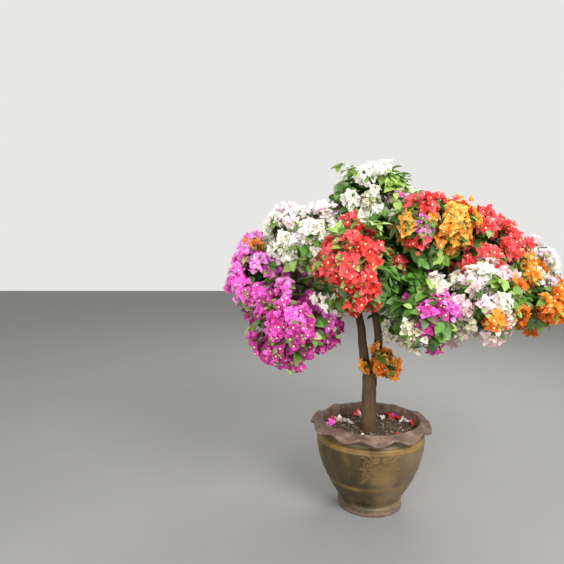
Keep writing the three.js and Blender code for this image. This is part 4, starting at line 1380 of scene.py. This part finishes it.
class BOUGAINVILLEA_OT_wood(bpy.types.Operator):
    """Grow the trunk, the boughs and the limbs, with furrowed bark"""

    bl_idname = "bougainvillea.wood"
    bl_label = "Trunk, boughs and limbs"

    def execute(self, context):
        settings = context.scene.bougainvillea_wood
        wood = grow_crown(context.scene.bougainvillea_crown)["wood"]
        furrow = settings.furrow / MM
        ridge = dimmed(settings.bark)
        trunk = Course([(TRUNK_X, 0, SOIL_TOP - 4), (TRUNK_X, 0, TRUNK_TOP + 16)])

        def trunk_radius(share):
            """Even taper, a flare at the foot, and a swelling below the fork, then a rounded top."""
            flare = FLARE * np.exp(-share * trunk.length / FLARE_HEIGHT)
            body = TRUNK_RADIUS - TRUNK_TAPER * share + FORK_SWELL * ramp(share, FORK_FROM, 0.95) + flare
            return body * np.clip((1.001 - share) / 0.14, 0, 1) ** 0.35

        points, faces, shades = bark_tube(trunk, trunk_radius, 72, 120, furrow)
        points[:, 1] *= 1 - FORK_FLATNESS * smooth_step(ramp(points[:, 2], TRUNK_TOP - 90, TRUNK_TOP))
        parts = [(points, faces, shades)]
        for name in BOUGHS:
            course, radius = wood[name]

            def bough_radius(share, ends=radius, length=course.length):
                """Even taper, a swelling where the bough leaves the trunk, and its foot drawn
                in so that it starts inside the trunk."""
                foot = between(BOUGH_FOOT, smooth_step(ramp(share * length, 0, BOUGH_FOOT_LENGTH)))
                return foot * (between(ends, share) + collar(BOUGH_COLLAR, share))

            parts.append(bark_tube(course, bough_radius, 44, 150, furrow * 0.8))
        bark = bark_material("bougainvillea bark", ridge, dimmed(ridge, 0.32), 0.2)
        make_piece("trunk_and_boughs", joined(parts), [bark], TRUNK_NODES)
        parts = []
        for name, (course, radius) in wood.items():
            if name in BOUGHS:
                continue

            def limb_radius(share, ends=radius):
                """Even taper, and a collar where the limb leaves its bough."""
                return between(ends, share) + collar(LIMB_COLLAR, share)

            parts.append(bark_tube(course, limb_radius, 18, 60, furrow * 0.6))
        limb_bark = bark_material("limb bark", dimmed(ridge, 0.72), dimmed(ridge, 0.3), 0.4)
        make_piece("limbs", joined(parts), [limb_bark], LIMB_NODES)
        return {"FINISHED"}


def spike_shape(radius):
    """A three-sided spike one long, its foot's radius a share of its length."""
    faces = [(0, 1, 3), (1, 2, 3), (2, 0, 3), (0, 2, 1)]
    return np.concatenate([circle(3, radius), [(0, 0, 1)]]), np.array(faces)


class BOUGAINVILLEA_OT_twigs(bpy.types.Operator):
    """Grow the stems, twigs, shoots and flower stalks of every mass"""

    bl_idname = "bougainvillea.twigs"
    bl_label = "Twigs"

    def execute(self, context):
        crown = grow_crown(context.scene.bougainvillea_crown)
        parts = []
        share = np.linspace(0, 1, 14)
        for course, radius in crown["framework"]:
            parts.append(one_shade(tubes(course.at(share)[None], between(radius, share)[None], 6)))
        shoots = crown["shoots"]
        share = np.linspace(0, 1, 8)[None]
        paths = arch(*(shoots[key][:, None] for key in ("start", "control", "end")), share)
        radii = np.repeat(between(SHOOT_RADIUS, share), len(paths), 0)
        parts.append(one_shade(tubes(paths, radii, 3), 1))
        clusters = crown["clusters"]
        stalk = clusters["at"] + clusters["axis"] * 2 - clusters["root"]
        points, faces, _ = repeat(spike_shape(STALK_RADIUS), clusters["root"], clusters["axis"], stalk,
                                  np.linalg.norm(stalk, axis=1), np.zeros(len(stalk)))
        parts.append(one_shade((points, np.column_stack([faces, faces[:, 2]])), 1))
        # Twigs and green shoots take the bark's painted shade too: darker high up in the crown
        woody = bark_material("twig bark", linear("#7a6243"), linear("#3d2f20"), 0.5)
        green = bark_material("green shoot", linear("#8b8a4c"), linear("#57602f"), 0.5)
        make_piece("twigs", joined(parts), [woody, green])
        return {"FINISHED"}


class BOUGAINVILLEA_OT_leaves(bpy.types.Operator):
    """Set the leaves on the shoots of every mass"""

    bl_idname = "bougainvillea.leaves"
    bl_label = "Leaves"

    def execute(self, context):
        settings = context.scene.bougainvillea_crown
        leaves = grow_crown(settings)["leaves"]
        length = settings.leaf_length / MM
        count = len(leaves["at"])
        index = np.arange(count)
        # Painted shade: leaves deep inside a mass take darker shades; young tips take lighter ones
        age_and_painted_shade = LEAF_CHANCE_AGE * chance(index, 3, 61) + LEAF_PAINTED_SHADE * (leaves["depth"] < LEAF_SHADE_BELOW)
        age_and_painted_shade = age_and_painted_shade + YOUNG_AGE * (leaves["share"] > YOUNG_FROM)
        shade = tone_of_age_and_painted_shade(age_and_painted_shade * LEAF_SHADES) + 3 * leaves["deep"]
        parts = []
        for form, (angles, fold, widest) in enumerate(LEAF_FORMS):
            chosen = index % len(LEAF_FORMS) == form
            shape = blade(length, length * 0.6, angles, fold, widest)
            parts.append(repeat(shape, leaves["at"][chosen], leaves["direction"][chosen],
                                leaves["facing"][chosen], leaves["size"][chosen], shade[chosen]))
        # The darker materials, and all the deep ones, also serve as painted shade
        materials = [thin_blade(f"bougainvillea {name} {word} leaf", code, 0.42, 0.26, 0.009)
                     for name in ("leafy", "deep")
                     for word, code in zip(("young", "full", "old_and_shaded"), SHADES[name])]
        make_piece("leaves", joined(parts), materials, [f"mass_{name}" for name in MASSES])
        return {"FINISHED"}


def star_shape():
    """A true flower: a slender three-sided tube that opens to a small five-pointed star."""
    points = np.concatenate([circle(3, 0.8, 3), circle(3, 1.4, 19),
                             circle(10, np.tile((5.2, 2.3), 5), 20.5), [(0, 0, 19.2)]])
    wall = [(i, (i + 1) % 3, 3 + (i + 1) % 3) for i in range(3)]
    wall += [(i, 3 + (i + 1) % 3, 3 + i) for i in range(3)]
    face = [(16, 6 + i, 6 + (i + 1) % 10) for i in range(10)]
    return points, np.array(wall + face)


class BOUGAINVILLEA_OT_bracts(bpy.types.Operator):
    """Set the clusters of bracts and the true flowers on the shoots of every mass"""

    bl_idname = "bougainvillea.bracts"
    bl_label = "Bracts and flowers"

    def execute(self, context):
        settings = context.scene.bougainvillea_crown
        clusters = grow_crown(settings)["clusters"]
        length = settings.bract_length / MM
        index = np.arange(len(clusters["at"]))
        spins = jitter(len(index), 71)
        size = between(CLUSTER_SIZE, chance(index, 5, 72))
        by_shoot, by_cluster = chance(clusters["order"], clusters["owner"], 73), chance(index, 6, 74)
        age_and_painted_shade = added(BRACT_CHANCE_AGE, by_shoot, by_cluster)
        # Painted shade: bracts deep inside a mass take darker shades
        age_and_painted_shade = age_and_painted_shade + BRACT_PAINTED_SHADE * (clusters["depth"] < BRACT_SHADE_BELOW)
        height = clusters["at"][:, 2]
        low_sprig = clusters["order"] == list(MASSES).index("fork_sprig")
        # Painted shade and light: bracts low in the crown take darker shades and high ones lighter, and the
        # low sprig, in the crown's shadow, lighter ones
        painted_shade_by_height = np.clip((PAINTED_SHADE_BELOW - height) / PAINTED_SHADE_FALL, *PAINTED_SHADE_LIMITS)
        age_and_painted_shade = age_and_painted_shade + np.where(low_sprig, LOW_SPRIG_PAINTED_LIGHT, painted_shade_by_height)
        shade = tone_of_age_and_painted_shade(age_and_painted_shade * BRACT_SHADES)
        for colour in FLOWERING:
            parts = []
            for form, opening in enumerate(CLUSTER_OPENINGS):
                chosen = (clusters["colour"] == colour) & (index % len(CLUSTER_OPENINGS) == form)
                parts.append(repeat(cluster_shape(length, opening), clusters["at"][chosen], spins[chosen],
                                    clusters["axis"][chosen], size[chosen], shade[chosen]))
            # The lighter materials also serve as painted light, and the darker ones as painted shade
            materials = [thin_blade(f"papery {colour} bract {word}", code, 0.62, 0.45, 0.007)
                         for word, code in zip(("fresh_and_lit", "full", "old_and_shaded"), SHADES[colour])]
            make_piece(f"bracts_{colour}", joined(parts), materials)
        open_now = chance(index, 7, 75) < OPEN_FLOWERS
        at, axis = clusters["at"][open_now], clusters["axis"][open_now]
        part = repeat(star_shape(), at + axis, spins[open_now], axis + 0.25 * spins[open_now],
                      size[open_now], np.zeros(len(at)))
        cream = thin_blade("cream flower", "#efe6ba", 0.6, 0.2, 0.005)
        make_piece("true_flowers", part, [cream])
        return {"FINISHED"}


# The camera at the photo's angle, and the soft round lights: place, size, share of the main
# light's power, all aimed at one height above the middle
CAMERA_PLACE = (-0.4456, -2.782, 1.424)
CAMERA_PITCH = math.radians(84)
CAMERA_LENS = 36.38
SENSOR_WIDTH = 36
LIGHTS = {
    "main light": ((1.6, -3.5, 3.5), 2.6, 1),
    "fill light": ((-2.3, -3.8, 1.25), 2.2, 0.44),
    "back light": ((1.2, 3.2, 3.6), 2.4, 0.45),
}
LIGHTS_AIM = (0, 0, 1.05)
DAYLIGHT = (1.0, 1.0, 0.98, 1.0)
DAYLIGHT_STRENGTH = 0.8
FLOOR_HALF = 9


class BOUGAINVILLEA_OT_stage(bpy.types.Operator):
    """Set the floor, the soft lights and the camera"""

    bl_idname = "bougainvillea.stage"
    bl_label = "Stage"

    def execute(self, context):
        settings = context.scene.bougainvillea_stage
        scene = context.scene
        scene.view_settings.view_transform = "Standard"
        corners = np.array([(-1, -1, 0), (1, -1, 0), (1, 1, 0), (-1, 1, 0)]) * FLOOR_HALF
        mesh = bpy.data.meshes.new("floor")
        mesh.from_pydata(corners.tolist(), [], [(0, 1, 2, 3)])
        mesh.materials.append(plaster(settings.floor))
        floor = bpy.data.objects.new("floor", mesh)
        scene.collection.objects.link(floor)
        world = bpy.data.worlds.new("soft daylight")
        world.use_nodes = True
        sky = world.node_tree.nodes["Background"].inputs
        sky["Color"].default_value = DAYLIGHT
        sky["Strength"].default_value = DAYLIGHT_STRENGTH
        scene.world = world
        for name, (place, size, share) in LIGHTS.items():
            lamp = bpy.data.lights.new(name, "AREA")
            lamp.shape = "DISK"
            lamp.size = size
            lamp.energy = settings.light * share
            holder = bpy.data.objects.new(name, lamp)
            holder.location = place
            aim = np.array(LIGHTS_AIM) - place
            pitch = math.atan2(math.hypot(aim[0], aim[1]), -aim[2])
            holder.rotation_euler = (pitch, 0, math.atan2(-aim[0], aim[1]))
            scene.collection.objects.link(holder)
        camera = bpy.data.objects.new("camera", bpy.data.cameras.new("camera"))
        camera.location = CAMERA_PLACE
        camera.rotation_euler = (CAMERA_PITCH, 0, 0)
        camera.data.lens = CAMERA_LENS
        camera.data.sensor_width = SENSOR_WIDTH
        scene.collection.objects.link(camera)
        scene.camera = camera
        return {"FINISHED"}


class BOUGAINVILLEA_PT_sidebar(bpy.types.Panel):
    """The settings and steps of the plant in the sidebar"""

    bl_label = "Bougainvillea"
    bl_idname = "BOUGAINVILLEA_PT_sidebar"
    bl_space_type = "VIEW_3D"
    bl_region_type = "UI"
    bl_category = "Bougainvillea"

    def draw(self, context):
        for name in SETTINGS:
            group = getattr(context.scene, name)
            box = self.layout.box()
            for setting in group.__annotations__:
                box.prop(group, setting)
        for operator in OPERATORS:
            self.layout.operator(operator.bl_idname)


SETTINGS = {
    "bougainvillea_pot": PotSettings,
    "bougainvillea_wood": WoodSettings,
    "bougainvillea_crown": CrownSettings,
    "bougainvillea_stage": StageSettings,
}
OPERATORS = [
    BOUGAINVILLEA_OT_pot,
    BOUGAINVILLEA_OT_soil,
    BOUGAINVILLEA_OT_wood,
    BOUGAINVILLEA_OT_twigs,
    BOUGAINVILLEA_OT_leaves,
    BOUGAINVILLEA_OT_bracts,
    BOUGAINVILLEA_OT_stage,
]
CLASSES = [*SETTINGS.values(), *OPERATORS, BOUGAINVILLEA_PT_sidebar]


def register():
    """Registers the classes and puts the settings on the scene."""
    for item in CLASSES:
        bpy.utils.register_class(item)
    for name, group in SETTINGS.items():
        setattr(bpy.types.Scene, name, PointerProperty(type=group))


def unregister():
    """Takes the settings off the scene and unregisters the classes."""
    for name in SETTINGS:
        delattr(bpy.types.Scene, name)
    for item in reversed(CLASSES):
        bpy.utils.unregister_class(item)


def main():
    """Builds every piece."""
    register()
    bpy.ops.bougainvillea.pot()
    bpy.ops.bougainvillea.soil()
    bpy.ops.bougainvillea.wood()
    bpy.ops.bougainvillea.twigs()
    bpy.ops.bougainvillea.leaves()
    bpy.ops.bougainvillea.bracts()
    bpy.ops.bougainvillea.stage()


if __name__ == "__main__":
    main()
